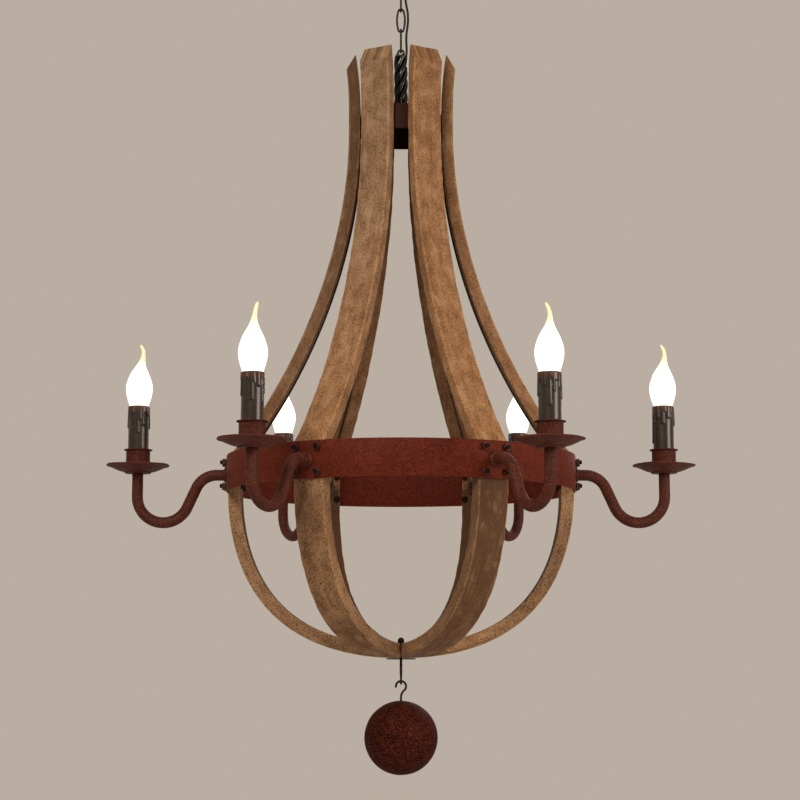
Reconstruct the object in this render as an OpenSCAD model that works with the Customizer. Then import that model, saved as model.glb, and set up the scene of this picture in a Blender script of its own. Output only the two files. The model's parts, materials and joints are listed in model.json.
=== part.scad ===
// Barrel-stave chandelier. Six bent oak staves rise from an iron hoop to a small drum, and six
// more close a bowl below it. Scrolled tube arms carry six candle lamps, a chain hangs the frame
// from a ceiling canopy, and an iron ball swings from an eye under the bowl.
// Millimetres. The origin is the centre of the ceiling face, +Z is up and -Y is the front.

/* [Hoop] */
// Outside diameter of the iron hoop
hoop_diameter = 472; // [450:2:500]
// Height of the hoop's strip
hoop_height = 48; // [46:1:60]
// Thickness of the hoop's strip
hoop_thickness = 3; // [2:0.5:5]

/* [Staves] */
// Width of every stave
stave_width = 45; // [42:1:50]
// Thickness of an upper stave
upper_thickness = 16; // [13:0.5:18]
// Thickness of a lower stave
lower_thickness = 17.5; // [14:0.5:20]
// Height of the stave tops above the middle of the hoop
upper_height = 584.5; // [560:0.5:640]
// Distance of the upper staves' outer faces from the axis, at the throat
throat_radius = 72; // [68:1:80]
// Height above the middle of the hoop where the straight throat of a stave begins to bend
throat_height = 473; // [460:1:485]
// How far down the straight throat holds its line into the bend
throat_pull = 164; // [130:1:190]
// How far up the foot holds its slope into the bend
flare_pull = 172; // [140:1:190]
// Slope of the foot from the horizontal
flare_slope = 49.8; // [46:0.2:54]
// How far the bend aims past the inside of the hoop
flare_past = 17.3; // [14:0.1:22]
// Height of the bevel on a stave's top end
top_bevel = 22; // [10:1:25]
// How far out a stave leans from the drum up to its top end
top_lean = 6.5; // [0:0.5:10]
// Depth of the bowl below the middle of the hoop
bowl_depth = 246; // [225:1:270]
// Straight length of a lower stave below the middle of the hoop
bowl_straight = 18.6; // [10:0.2:24]
// How far down the side of the bowl holds its line
bowl_side_pull = 114; // [90:1:130]
// How far out the floor of the bowl holds its line
bowl_floor_pull = 179; // [150:1:190]

/* [Bolts] */
// Diameter of the bolts through hoop and staves
bolt_diameter = 6; // [5:0.5:8]
// Distance of each bolt from the middle of its station, sideways and up or down
bolt_offset = 16; // [15:0.5:17]
// Length of bolt outside the hoop
bolt_end = 8; // [6:0.5:12]
// Width across the flats of a bolt's nut and head
nut_flats = 10; // [9:0.5:11]
// Height of a bolt's nut
nut_height = 5; // [3:0.5:6]
// Height of a bolt's head
bolt_head_height = 3.5; // [2:0.5:5]

/* [Hub] */
// Height of the drum that joins the stave tops
hub_height = 35.5; // [30:0.5:45]
// Wall of the drum
hub_wall = 3; // [2:0.5:4]
// Depth of the drum's top below the stave tops
hub_drop = 79.5; // [60:0.5:90]
// Diameter of the drum's wood screws
hub_screw_diameter = 4; // [3:0.5:5]
// Length of a wood screw in the stave
hub_screw_bite = 11; // [8:0.5:12]
// Distance of each wood screw above or below the middle of the drum
hub_screw_offset = 9; // [8:0.5:10]

/* [Stem and wires] */
// Diameter of the stem that carries the drum
stem_diameter = 6; // [5:0.5:7]
// Height of the top of the stem's eye above the drum
stem_rise = 92; // [80:1:110]
// Wire of the stem's eye
stem_eye_wire = 3; // [2.5:0.1:3.2]
// Radius of the stem's eye, to the middle of its wire
stem_eye_radius = 4.1; // [3.8:0.1:5]
// Diameter of each black lead that is wound round the stem
lead_diameter = 6.4; // [5:0.1:7]
// Turn of the leads round the stem, in degrees
lead_turn = 300; // [180:10:360]
// Diameter of the flex that runs along each upper stave
flex_diameter = 2.4; // [2:0.1:3]

/* [Chain] */
// Outside length of a link
link_length = 36; // [32:1:44]
// Outside width of a link
link_width = 14; // [13:0.5:18]
// Wire of a link
link_wire = 3; // [2.5:0.1:3.2]
// Radius of a link's ends, to the middle of the wire
link_end_radius = 3.8; // [3.7:0.1:4.2]
// Diameter of the supply cable
cable_diameter = 3.2; // [2.5:0.1:3.6]

/* [Canopy] */
// Diameter of the canopy
canopy_diameter = 120; // [112:1:150]
// Height of the canopy
canopy_height = 28; // [26:1:50]
// Wall of the canopy
canopy_wall = 1.2; // [0.8:0.1:2]
// Distance from the canopy down to the middle of the loop's lowest wire
loop_drop = 30; // [28:1:40]
// Radius of the loop, to the middle of its wire
loop_radius = 9; // [8:0.5:10]
// Wire of the loop
loop_wire = 3.6; // [3:0.1:4]
// Diameter of the loop's threaded stem
loop_stem_diameter = 10; // [8:0.5:12]
// Height of the ring nut that holds the canopy up
collar_height = 7; // [5:0.5:8]
// Length of the mounting bar
bar_length = 100; // [90:1:105]
// Width of the mounting bar
bar_width = 20; // [18:1:24]
// Thickness of the mounting bar
bar_thickness = 3; // [2:0.5:4]
// Distance between the ceiling screws
ceiling_screw_spacing = 70; // [60:1:76]
// Diameter of the ceiling screw holes
ceiling_screw_hole = 5; // [4:0.5:6]
// Distance of the cable's bush from the axis
bush_offset = 20; // [18:0.5:24]

/* [Arms] */
// Diameter of the arm tube
arm_tube = 15; // [13:0.5:16]
// Bore of the arm tube
arm_bore = 11; // [8:0.5:11.5]
// Diameter of the threaded ends of an arm
spigot_diameter = 10; // [9:0.5:10.5]
// Bore of the threaded ends
spigot_bore = 6; // [5:0.5:7]
// Diameter of the collar against the hoop
collar_diameter = 20; // [18:0.5:22]
// Thickness of the collar against the hoop
arm_collar_thickness = 3.5; // [2:0.5:5]
// Distance from the hoop to the first bend
arm_lead = 14; // [8:0.5:20]
// Radius of the first bend
first_bend_radius = 30; // [26:1:34]
// Steepest slope of the arm, in degrees
arm_slope = 65.5; // [55:0.5:75]
// Straight length between the bends
arm_middle = 28.7; // [20:0.1:40]
// Radius of the second bend
second_bend_radius = 35.5; // [32:0.5:40]
// Height of the drip pans above the middle of the hoop
pan_seat = 2.5; // [-5:0.5:15]

/* [Candles] */
// Diameter of a drip pan
pan_diameter = 85; // [75:1:95]
// Height of a drip pan's rim above its foot
pan_depth = 10.3; // [8:0.1:18]
// Height of the step round a drip pan's foot
pan_step = 2; // [1:0.5:3]
// Wall of a drip pan
pan_wall = 1.2; // [0.8:0.1:2]
// Diameter of a drip pan's rolled rim
pan_bead = 2.4; // [1.8:0.1:3]
// Diameter of a candle cup
cup_diameter = 32.4; // [31.5:0.1:33.5]
// Height of a candle cup
cup_height = 31.4; // [25:0.1:40]
// Wall of a candle cup
cup_wall = 1.2; // [0.8:0.1:1.4]
// Diameter of the flange at the top of a cup
cup_flange = 38.8; // [36:0.2:42]
// Thickness of a cup's flange and of its floor
cup_floor = 1.5; // [1:0.1:2]
// Diameter of a candle sleeve
sleeve_diameter = 27.8; // [27.4:0.1:28.6]
// Wall of a candle sleeve
sleeve_wall = 0.9; // [0.6:0.1:1]
// Length of a candle sleeve
sleeve_length = 88.8; // [84:0.1:100]
// Height of the arm's upper thread above the cup's floor
arm_thread = 10; // [8:0.5:12]
// Diameter of a lamp holder's shell
holder_diameter = 23; // [21:0.5:24]
// Depth of the lamp holder's top below the sleeve's top
holder_drop = 14; // [12:0.5:16]
// Widest diameter of the bulb's glass
glass_diameter = 35.8; // [33:0.1:38]
// Height of the glass above the sleeve
glass_height = 86; // [76:1:96]
// Wall of the glass
glass_wall = 0.8; // [0.6:0.1:1]
// Diameter of the bulb's screw base
base_diameter = 13.8; // [13:0.1:14.2]
// Length of the bulb's screw base
base_length = 17; // [15:0.5:20]

/* [Ball] */
// Diameter of the plate under the bowl
plate_diameter = 39; // [34:1:50]
// Thickness of the plate under the bowl
plate_thickness = 1.6; // [1:0.1:3]
// Diameter of the eye bolt's rod
eye_rod = 3.8; // [3.2:0.1:4.4]
// Distance from the plate down to the middle of the eye
eye_drop = 27; // [20:1:40]
// Radius of the eye and wire of the eye and the hook
eye_radius = 5; // [4.8:0.1:6]
// Wire of the eye and of the hook
hook_wire = 3; // [2.5:0.1:3.2]
// Radius of the hook, to the middle of its wire
hook_radius = 6.8; // [6:0.1:8]
// Diameter of the ball
ball_diameter = 98; // [80:1:120]
// Wall of the hollow ball
ball_wall = 2; // [1.5:0.1:3]
// Length of the hook's shank between its bend and the ball
shank_length = 4.2; // [2:0.1:10]

/* [Hidden] */
$fn = 64;
stations = 6;
links = 4;
station_step = 360 / stations;
first_station = -120;      // the front left station, turned from +X
running_gap = 0.3;         // between bodies that hang in each other
fit_gap = 0.3;             // between curved faces that bear on each other
hole_gap = 0.2;            // round a bolt, screw or spigot, on the radius
thread_gap = 0.1;          // between a thread and its nut, on the radius
seam = 0.2;                // where the lower staves' tips meet
curve_steps = 20;

// Each bulb's glass was screwed home at its own angle.
glass_turns = [-90, 45, 12, 80, -70, 0];

function numbered(name, count) = [for (i = [1 : count]) str(name, "_", i)];

// Radii at the hoop
hoop_outer = hoop_diameter / 2;
hoop_inner = hoop_outer - hoop_thickness;
stave_outer = hoop_inner - fit_gap;
seat_radius = stave_outer - lower_thickness;
throat_inner = throat_radius - upper_thickness;
hub_radius = throat_inner - fit_gap;
hub_inner = hub_radius - hub_wall;

// Heights, from the ceiling down
canopy_bottom = -canopy_height;
loop_bar_z = canopy_bottom - loop_drop;
link_bar = link_length - link_wire;
link_pitch = link_bar - link_wire - running_gap;
first_link_z = loop_bar_z + (loop_wire + link_wire) / 2 + running_gap;
last_link_bottom = first_link_z - (links - 1) * link_pitch - link_bar;
stem_eye_top = last_link_bottom + (link_wire + stem_eye_wire) / 2 + running_gap;
stem_eye_z = stem_eye_top - stem_eye_radius;
hub_top = stem_eye_top - stem_rise;
hub_bottom = hub_top - hub_height;
hoop_z = hub_top + hub_drop - upper_height;
bowl_z = hoop_z - bowl_depth;
plate_bottom = bowl_z - plate_thickness;
eye_z = plate_bottom - eye_drop;
hook_z = eye_z - eye_radius + hook_wire + running_gap - hook_radius;

// The arm's line, in the plane of its station: x from the axis and z from the middle of the hoop
slope_turn = 90 - arm_slope;
collar_start = hoop_outer + thread_gap;
tube_start = collar_start + arm_collar_thickness;
first_centre = [hoop_outer + arm_lead, -first_bend_radius];
slope_start = first_centre + first_bend_radius * [cos(slope_turn), sin(slope_turn)];
slope_end = slope_start + arm_middle * [cos(arm_slope), -sin(arm_slope)];
second_centre = slope_end + second_bend_radius * [cos(slope_turn), sin(slope_turn)];
arm_reach = second_centre.x + second_bend_radius;

// Heights on a candle, from the middle of the hoop
cup_seat = pan_seat + pan_wall;
holder_seat = cup_seat + cup_floor;
spigot_top = holder_seat + arm_thread;
sleeve_top = holder_seat + sleeve_length;
holder_top = sleeve_top - holder_drop;
base_socket = base_length + 4;
glass_start = holder_top + 1;

function bezier(p, t) = pow(1 - t, 3) * p[0] + 3 * pow(1 - t, 2) * t * p[1]
    + 3 * (1 - t) * t * t * p[2] + pow(t, 3) * p[3];
function slope_of(p, t) = pow(1 - t, 2) * (p[1] - p[0]) + 2 * (1 - t) * t * (p[2] - p[1])
    + t * t * (p[3] - p[2]);
function unit(v) = v / norm(v);
// A point beside the curve, on its left as it runs
function beside(p, t, gap) = bezier(p, t) + gap * [-unit(slope_of(p, t)).y, unit(slope_of(p, t)).x];
function steps(count) = [for (i = [0 : count]) i / count];

// Outer faces of the staves, in the plane of the station
upper_curve = [
    [throat_radius, throat_height],
    [throat_radius, throat_height - throat_pull],
    [hoop_inner + flare_past - flare_pull * cos(flare_slope), flare_pull * sin(flare_slope)],
    [hoop_inner + flare_past, 0]
];
lower_curve = [
    [stave_outer, -bowl_straight],
    [stave_outer, -bowl_straight - bowl_side_pull],
    [bowl_floor_pull, -bowl_depth],
    [0, -bowl_depth]
];

// Turns its children from +X to a station
module at_station(i) {
    rotate([0, 0, first_station + station_step * (i - 1)]) children();
}

// Moves its children, drawn with x from the axis and z from the middle of the hoop, into place
module on_hoop(i) {
    translate([0, 0, hoop_z]) at_station(i) children();
}

module every_station() {
    for (i = [1 : stations]) on_hoop(i) children();
}

// The four bolt places of a station: sideways and up or down
module every_bolt() {
    for (side = [-1, 1], level = [-1, 1])
        translate([0, side * bolt_offset, level * bolt_offset]) rotate([0, 90, 0]) children();
}

// A thin ring wall, bored through
module pipe(height, outer, inner) {
    difference() {
        cylinder(h = height, r = outer);
        translate([0, 0, -1]) cylinder(h = height + 2, r = inner);
    }
}

// Points along an arc in the XZ plane
function arc(centre, radius, from, to, count) = [for (t = steps(count))
    centre + radius * [cos(from + (to - from) * t), sin(from + (to - from) * t)]];
function in_plane(points) = [for (p = points) [p.x, 0, p.y]];

// A full ring of wire about a centre in the XZ plane
module ring(centre_z, radius, wire) {
    translate([0, 0, centre_z]) rotate([90, 0, 0]) rotate_extrude() translate([radius, 0]) circle(d = wire);
}

// A hexagon nut or head, standing on z = 0
module hexagon(flats, height) {
    cylinder(h = height, d = flats / cos(30), $fn = 6);
}

// A round tube swept along points. At each point, across is a direction square to the path.
module sweep(points, diameter, sides, across = [[0, 1, 0]], closed = false) {
    count = len(points);
    last = count - 1;
    function next(i) = closed ? (i + 1) % count : min(i + 1, last);
    function before(i) = closed ? (i + last) % count : max(i - 1, 0);
    directions = [for (i = [0 : last]) unit(points[next(i)] - points[before(i)])];
    rings = [for (i = [0 : last], s = [0 : sides - 1])
        let (a = 360 * s / sides, y = across[i % len(across)])
        points[i] + diameter / 2 * (cos(a) * cross(directions[i], y) + sin(a) * y)];
    walls = [for (i = [0 : closed ? last : last - 1], s = [0 : sides - 1])
        let (a = i * sides + s, b = i * sides + (s + 1) % sides, on = next(i) * sides - i * sides)
        each [[a, b, b + on], [a, b + on, a + on]]];
    ends = [for (s = [1 : sides - 2]) each [[0, s + 1, s],
        [last * sides, last * sides + s, last * sides + s + 1]]];
    polyhedron(rings, closed ? walls : concat(walls, ends));
}

// ---- Ceiling ----

module canopy() {
    shoulder = canopy_diameter * 0.3;
    dome = [
        [canopy_diameter / 2, 0],
        [canopy_diameter / 2, -canopy_height * 0.75],
        [shoulder * 1.4, canopy_bottom],
        [shoulder, canopy_bottom]
    ];
    outside = [for (t = steps(curve_steps)) bezier(dome, t)];
    inside = [for (t = steps(curve_steps)) beside(dome, 1 - t, -canopy_wall)];
    color("#3a1d17") difference() {
        rotate_extrude() intersection() {
            polygon(concat(outside, [[0, canopy_bottom], [0, canopy_bottom + canopy_wall]], inside));
            translate([0, canopy_bottom]) square([canopy_diameter, canopy_height]);
        }
        translate([0, 0, canopy_bottom - 1]) {
            cylinder(h = canopy_wall + 2, d = loop_stem_diameter + 2 * hole_gap);
            translate([bush_offset, 0, 0])
                cylinder(h = canopy_wall + 2, d = cable_diameter + bush_wall * 2 + 2 * hole_gap);
        }
    }
}

bar_boss_depth = 9;
bar_stem_depth = 8;

module mounting_bar() {
    color("#8f9296") difference() {
        union() {
            translate([-bar_length / 2, -bar_width / 2, -bar_thickness])
                cube([bar_length, bar_width, bar_thickness]);
            translate([0, 0, -bar_boss_depth]) cylinder(h = bar_boss_depth, d = loop_stem_diameter + 6);
        }
        translate([0, 0, -bar_boss_depth - 1])
            cylinder(h = bar_stem_depth + 1, d = loop_stem_diameter + 2 * thread_gap);
        for (side = [-1, 1]) translate([side * ceiling_screw_spacing / 2, 0, -bar_thickness - 1])
            cylinder(h = bar_thickness + 2, d = ceiling_screw_hole);
    }
}

block_size = [9, 17, 11];

module terminal_block() {
    bottom = -bar_thickness - block_size.z;
    color("#e8e4d8") difference() {
        translate([bush_offset - block_size.x / 2, -block_size.y / 2, bottom]) cube(block_size);
        for (side = [-1, 1]) translate([bush_offset, side * block_size.y / 4, bottom - 1])
            cylinder(h = block_size.z - 1, d = cable_diameter / 2 + 1);
    }
}

module canopy_ring_nut() {
    color("#3a1d17") translate([0, 0, canopy_bottom - collar_height])
        pipe(collar_height, loop_stem_diameter / 2 + 4, loop_stem_diameter / 2 + thread_gap);
}

module canopy_loop() {
    ring_z = loop_bar_z + loop_radius;
    stem_bottom = ring_z + loop_radius;
    stem_top = -bar_boss_depth + bar_stem_depth - hole_gap;
    color("#3a1d17") union() {
        rotate([0, 0, 90]) ring(ring_z, loop_radius, loop_wire);
        translate([0, 0, stem_bottom])
            cylinder(h = stem_top - stem_bottom, d = loop_stem_diameter);
    }
}

bush_wall = 2;
bush_lip = 1.5;

module cable_bush() {
    bore = cable_diameter / 2 + hole_gap;
    color("#1b1a1a") translate([bush_offset, 0, canopy_bottom]) {
        translate([0, 0, -bush_lip]) pipe(bush_lip, bore + bush_wall + 1.5, bore);
        pipe(canopy_wall + 4, bore + bush_wall - hole_gap, bore);
    }
}

// ---- Chain and supply cable ----

// An oval link whose top wire lies on the origin: two tight ends and two long, flat sides
module oval_link() {
    half_long = link_bar / 2;
    half_wide = (link_width - link_wire) / 2;
    end_z = half_long - link_end_radius;
    side_radius = (pow(half_wide, 2) + pow(end_z, 2) - pow(link_end_radius, 2))
        / (2 * (half_wide - link_end_radius));
    side_x = half_wide - side_radius;
    meet = atan(end_z / -side_x);
    half = concat(
        arc([side_x, 0], side_radius, -meet, meet, 6),
        [for (i = [1 : 7]) arc([0, end_z], link_end_radius, meet, 180 - meet, 8)[i]]
    );
    line = concat(half, [for (p = half) -p]);
    translate([0, 0, -half_long]) sweep(in_plane(line), link_wire, 8, closed = true);
}

module chain_link(i) {
    turn = i % 2 == 1 ? 0 : 90;
    color("#2b1a16") translate([0, 0, first_link_z - (i - 1) * link_pitch])
        rotate([0, 0, turn]) oval_link();
}

// The leads wound round the stem, and the hole beside them for each flex
leads = 5;
lead_circle = stem_diameter / 2 + fit_gap + lead_diameter / 2;
lead_dip = lead_diameter * 0.2;    // how far a leaning lead's end reaches past its middle
bundle_bottom = hub_top + lead_dip + fit_gap;
bundle_height = stem_rise - 2 * stem_eye_radius - stem_eye_wire / 2 - 2 * lead_dip - 1;
flex_hole = lead_circle + lead_diameter / 2 + flex_diameter / 2 + 3;

// The cable's route from the terminal block to the leads, as x and height above the stem's eye
cable_route = [
    [20, 154], [20, 148], [20, 142], [19, 137], [17, 132], [14.2, 127], [11.6, 121], [10.2, 114],
    [9.7, 106], [9.2, 98], [8.4, 91], [7.4, 84], [6.6, 78], [6.6, 72], [7.4, 66],
    [8.6, 60], [9.5, 54], [9.9, 48], [9.9, 42], [9.4, 36], [8.6, 30], [7.9, 24], [7.5, 18],
    [7.5, 12], [7.8, 6], [8, 0], [7.8, -5]
];

module supply_cable() {
    top = [bush_offset, -bar_thickness - block_size.z - fit_gap - stem_eye_top];
    end = [lead_circle, bundle_bottom + bundle_height + lead_dip + fit_gap - stem_eye_top];
    route = concat([top], cable_route, [end]);
    color("#15110f") translate([0, 0, stem_eye_top]) sweep(in_plane(route), cable_diameter, 8);
}

// ---- Stem, drum and wiring ----

module stem_eye() {
    rod_top = stem_eye_z - stem_eye_radius;
    rod_bottom = hub_top - hub_wall - nut_height - 4;
    color("#2b1a16") union() {
        ring(stem_eye_z, stem_eye_radius, stem_eye_wire);
        translate([0, 0, rod_bottom]) cylinder(h = rod_top - rod_bottom, d = stem_diameter);
    }
}

module stem_nut() {
    color("#2b1a16") translate([0, 0, hub_top - hub_wall - nut_height]) difference() {
        hexagon(nut_flats, nut_height);
        translate([0, 0, -1]) cylinder(h = nut_height + 2, d = stem_diameter + 2 * thread_gap);
    }
}

// One lead's helix round the stem, and the directions from the stem out to it
function lead_out(t) = [cos(lead_turn * t), sin(lead_turn * t), 0];
function lead_point(t) = lead_circle * lead_out(t) + [0, 0, bundle_height * t];
lead_steps = 18;
lead_line = [for (t = steps(lead_steps)) lead_point(t)];
next_lead = [for (p = lead_line) [for (a = 360 / leads) [
    p.x * cos(a) - p.y * sin(a), p.x * sin(a) + p.y * cos(a), p.z]][0]];
lead_gap = min([for (p = lead_line, q = next_lead) norm(p - q)]) - lead_diameter;
echo(least_gap_between_leads = lead_gap);

module wire_bundle() {
    color("#0d0c0c") translate([0, 0, bundle_bottom]) for (i = [1 : leads])
        rotate([0, 0, 360 * i / leads - lead_turn])
            sweep(lead_line, lead_diameter, 8, [for (t = steps(lead_steps)) lead_out(t)]);
}

module hub_drum() {
    color("#4a2119") difference() {
        translate([0, 0, hub_bottom]) cylinder(h = hub_height, r = hub_radius);
        translate([0, 0, hub_bottom - 1]) cylinder(h = hub_height + 1 - hub_wall, r = hub_inner);
        translate([0, 0, hub_top - hub_wall - 1])
            cylinder(h = hub_wall + 2, d = stem_diameter + 2 * hole_gap);
        for (i = [1 : stations]) at_station(i) {
            translate([flex_hole, 0, hub_top - hub_wall - 1])
                cylinder(h = hub_wall + 2, d = flex_diameter + 3 * hole_gap);
            for (side = [-1, 1])
                translate([hub_inner - 3, 0, hub_top - hub_height / 2 + side * hub_screw_offset])
                    rotate([0, 90, 0]) cylinder(h = hub_wall + 6, d = hub_screw_diameter + 2 * hole_gap);
        }
    }
}

screw_head_radius = hub_screw_diameter * 0.95;
screw_head_height = 2.2;
screw_seat = sqrt(pow(hub_inner, 2) - pow(screw_head_radius, 2)) - hole_gap;

module hub_screws() {
    color("#6d6a66") for (i = [1 : stations], side = [-1, 1]) at_station(i)
        translate([screw_seat, 0, hub_top - hub_height / 2 + side * hub_screw_offset])
            rotate([0, 90, 0]) {
                translate([0, 0, -screw_head_height]) cylinder(h = screw_head_height, r = screw_head_radius);
                cylinder(h = throat_inner + hub_screw_bite - screw_seat, d = hub_screw_diameter);
            }
}

// Each lamp's flex comes out of its arm, climbs the inner face of the stave and goes into the drum.
module stave_flex() {
    half = flex_diameter / 2;
    clear = half + fit_gap;
    drum_z = hub_bottom - hoop_z;
    plate_z = hub_top - hoop_z;
    rest = seat_radius - arm_nut_height - 3;
    out_of_arm = [[rest + 8, 0], [rest, 0], [rest - 5, 2.5], [rest - 7, 9], [rest - 6, 18]];
    along_the_bend = [for (t = steps(20)) beside(upper_curve, 0.88 * (1 - t), -upper_thickness - clear)];
    up_the_stave = [for (p = along_the_bend) if (p.y < drum_z - 30) p];
    into_the_drum = [
        [throat_inner - clear, drum_z - 22],
        [throat_inner - clear - 1.5, drum_z - 10],
        [throat_inner - clear - 6, drum_z + 2],
        [throat_inner - clear - 12, drum_z + 12],
        [throat_inner - clear - 22, drum_z + 20],
        [flex_hole + 6, plate_z - hub_wall - 8],
        [flex_hole + 1.2, plate_z - hub_wall - 5],
        [flex_hole, plate_z - hub_wall - 2],
        [flex_hole, plate_z + 2],
        [flex_hole - 1.2, plate_z + 7],
        [flex_hole - 2.4, plate_z + 13],
        [flex_hole - 2.6, plate_z + 20]
    ];
    color("#141212") every_station()
        sweep(in_plane(concat(out_of_arm, up_the_stave, into_the_drum)), flex_diameter, 6);
}

// ---- Staves ----

module stave_outline(outline) {
    translate([0, stave_width / 2, 0]) rotate([90, 0, 0]) linear_extrude(height = stave_width)
        polygon(outline);
}

// Bores for the station's bolts and arm, with a flat seat for each head and nut
module station_bores() {
    seat_depth = 30;
    bolt_seat = nut_flats / cos(30) / 2 + 1.5;
    every_bolt() {
        cylinder(h = hoop_outer + 10, d = bolt_diameter + 2 * hole_gap);
        translate([0, 0, seat_radius - seat_depth]) cylinder(h = seat_depth, r = bolt_seat);
    }
    rotate([0, 90, 0]) {
        cylinder(h = hoop_outer + 10, d = spigot_diameter + 2 * hole_gap);
        translate([0, 0, seat_radius - seat_depth])
            cylinder(h = seat_depth, r = arm_nut_flats / cos(30) / 2 + 1);
    }
}

// How far out a stave's face lies at a height above the drum
function lean(z) = top_lean * pow((z - upper_height + hub_drop) / hub_drop, 2);
function leaning(radius, top) = [for (t = steps(6))
    let (z = upper_height - hub_drop + t * (top - upper_height + hub_drop)) [radius + lean(z), z]];

module upper_stave(i) {
    outer = [for (t = steps(curve_steps)) bezier(upper_curve, t)];
    inner = [for (t = steps(curve_steps)) beside(upper_curve, 1 - t, -upper_thickness)];
    above_foot = [for (p = inner) if (p.x < seat_radius) p];
    foot_z = lookup(seat_radius, inner);
    outer_top = leaning(throat_radius, upper_height - top_bevel);
    inner_top = leaning(throat_inner, upper_height);
    outline = concat([for (i = [6 : -1 : 0]) outer_top[i]], outer, [[seat_radius, 0], [seat_radius, foot_z]],
        above_foot, inner_top);
    color("#a67c52") on_hoop(i) difference() {
        intersection() {
            stave_outline(outline);
            cylinder(h = upper_height, r = stave_outer);
        }
        station_bores();
        for (side = [-1, 1])
            translate([0, 0, hub_top - hoop_z - hub_height / 2 + side * hub_screw_offset])
                rotate([0, 90, 0])
                    cylinder(h = throat_inner + hub_screw_bite + hole_gap, d = hub_screw_diameter + hole_gap);
    }
}

module lower_stave(i) {
    outer = [for (t = steps(curve_steps)) bezier(lower_curve, t)];
    outline = concat([[hoop_inner, 0], [hoop_inner, -bowl_straight]], outer, lower_inner,
        [[seat_radius, 0]]);
    reach = hoop_outer;
    half_angle = station_step / 2;
    color("#9a7450") on_hoop(i) difference() {
        intersection() {
            stave_outline(outline);
            translate([0, 0, -bowl_depth - 1]) cylinder(h = bowl_depth + 1, r = stave_outer);
            translate([seam / 2 / sin(half_angle), 0, -bowl_depth - 1])
                linear_extrude(height = bowl_depth + 2)
                    polygon([[0, 0], [reach, -reach * tan(half_angle)], [reach, reach * tan(half_angle)]]);
        }
        station_bores();
        translate([0, 0, -bowl_depth - 1]) cylinder(h = lower_thickness + 2, d = eye_rod + 2 * hole_gap);
    }
}

// ---- Hoop and its fasteners ----

module hoop() {
    color("#6a2a1c") translate([0, 0, hoop_z]) difference() {
        translate([0, 0, -hoop_height / 2]) pipe(hoop_height, hoop_outer, hoop_inner);
        for (i = [1 : stations]) at_station(i) {
            every_bolt() translate([0, 0, hoop_inner - 8])
                cylinder(h = hoop_thickness + 12, d = bolt_diameter + 2 * hole_gap);
            rotate([0, 90, 0]) translate([0, 0, hoop_inner - 8])
                cylinder(h = hoop_thickness + 12, d = spigot_diameter + 2 * hole_gap);
        }
    }
}

// Where a nut's flat face clears the round hoop
nut_seat = sqrt(pow(hoop_outer, 2) - pow(bolt_offset - nut_flats * 0.6, 2)) + thread_gap;

module hoop_bolts() {
    color("#2a1714") every_station() every_bolt() {
        translate([0, 0, seat_radius - bolt_head_height]) hexagon(nut_flats, bolt_head_height);
        translate([0, 0, seat_radius])
            cylinder(h = hoop_outer + bolt_end - seat_radius, d = bolt_diameter);
    }
}

module hoop_nuts() {
    color("#2a1714") every_station() every_bolt() translate([0, 0, nut_seat]) difference() {
        hexagon(nut_flats, nut_height);
        translate([0, 0, -1]) cylinder(h = nut_height + 2, d = bolt_diameter + 2 * thread_gap);
    }
}

arm_nut_flats = spigot_diameter + 7;
arm_nut_height = 8;

module arm_nuts() {
    color("#2a1714") every_station() rotate([0, 90, 0])
        translate([0, 0, seat_radius - arm_nut_height]) difference() {
            hexagon(arm_nut_flats, arm_nut_height);
            translate([0, 0, -1]) cylinder(h = arm_nut_height + 2, d = spigot_diameter + 2 * thread_gap);
        }
}

// ---- Arms and candles ----

// The arm's line from inside its collar, through both bends, to under the drip pan
arm_cap = 1.5;
function arm_line(start, top) = in_plane(concat(
    [[start, 0]],
    arc(first_centre, first_bend_radius, 90, slope_turn, 7),
    arc(second_centre, second_bend_radius, 180 + slope_turn, 360, 15),
    [[arm_reach, top]]
));

module arm(i) {
    spigot_start = seat_radius - arm_nut_height - 1.5;
    color("#4a221b") on_hoop(i) difference() {
        union() {
            rotate([0, 90, 0]) {
                translate([0, 0, spigot_start])
                    cylinder(h = tube_start - 1 - spigot_start, d = spigot_diameter);
                translate([0, 0, collar_start]) cylinder(h = arm_collar_thickness, d = collar_diameter);
            }
            sweep(arm_line(tube_start - 1, pan_seat), arm_tube, 12);
            translate([arm_reach, 0, pan_seat - arm_cap / 2])
                cylinder(h = spigot_top - pan_seat + arm_cap / 2, d = spigot_diameter);
        }
        sweep(arm_line(tube_start, pan_seat - arm_cap), arm_bore, 8);
        translate([spigot_start - 1, 0, 0]) rotate([0, 90, 0])
            cylinder(h = tube_start + 2 - spigot_start, d = spigot_bore);
        translate([arm_reach, 0, pan_seat - arm_cap - 1])
            cylinder(h = spigot_top - pan_seat + arm_cap + 2, d = spigot_bore);
    }
}

// Moves its children onto each candle's axis, with z from the middle of the hoop
module every_candle() {
    every_station() translate([arm_reach, 0, 0]) children();
}

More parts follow.
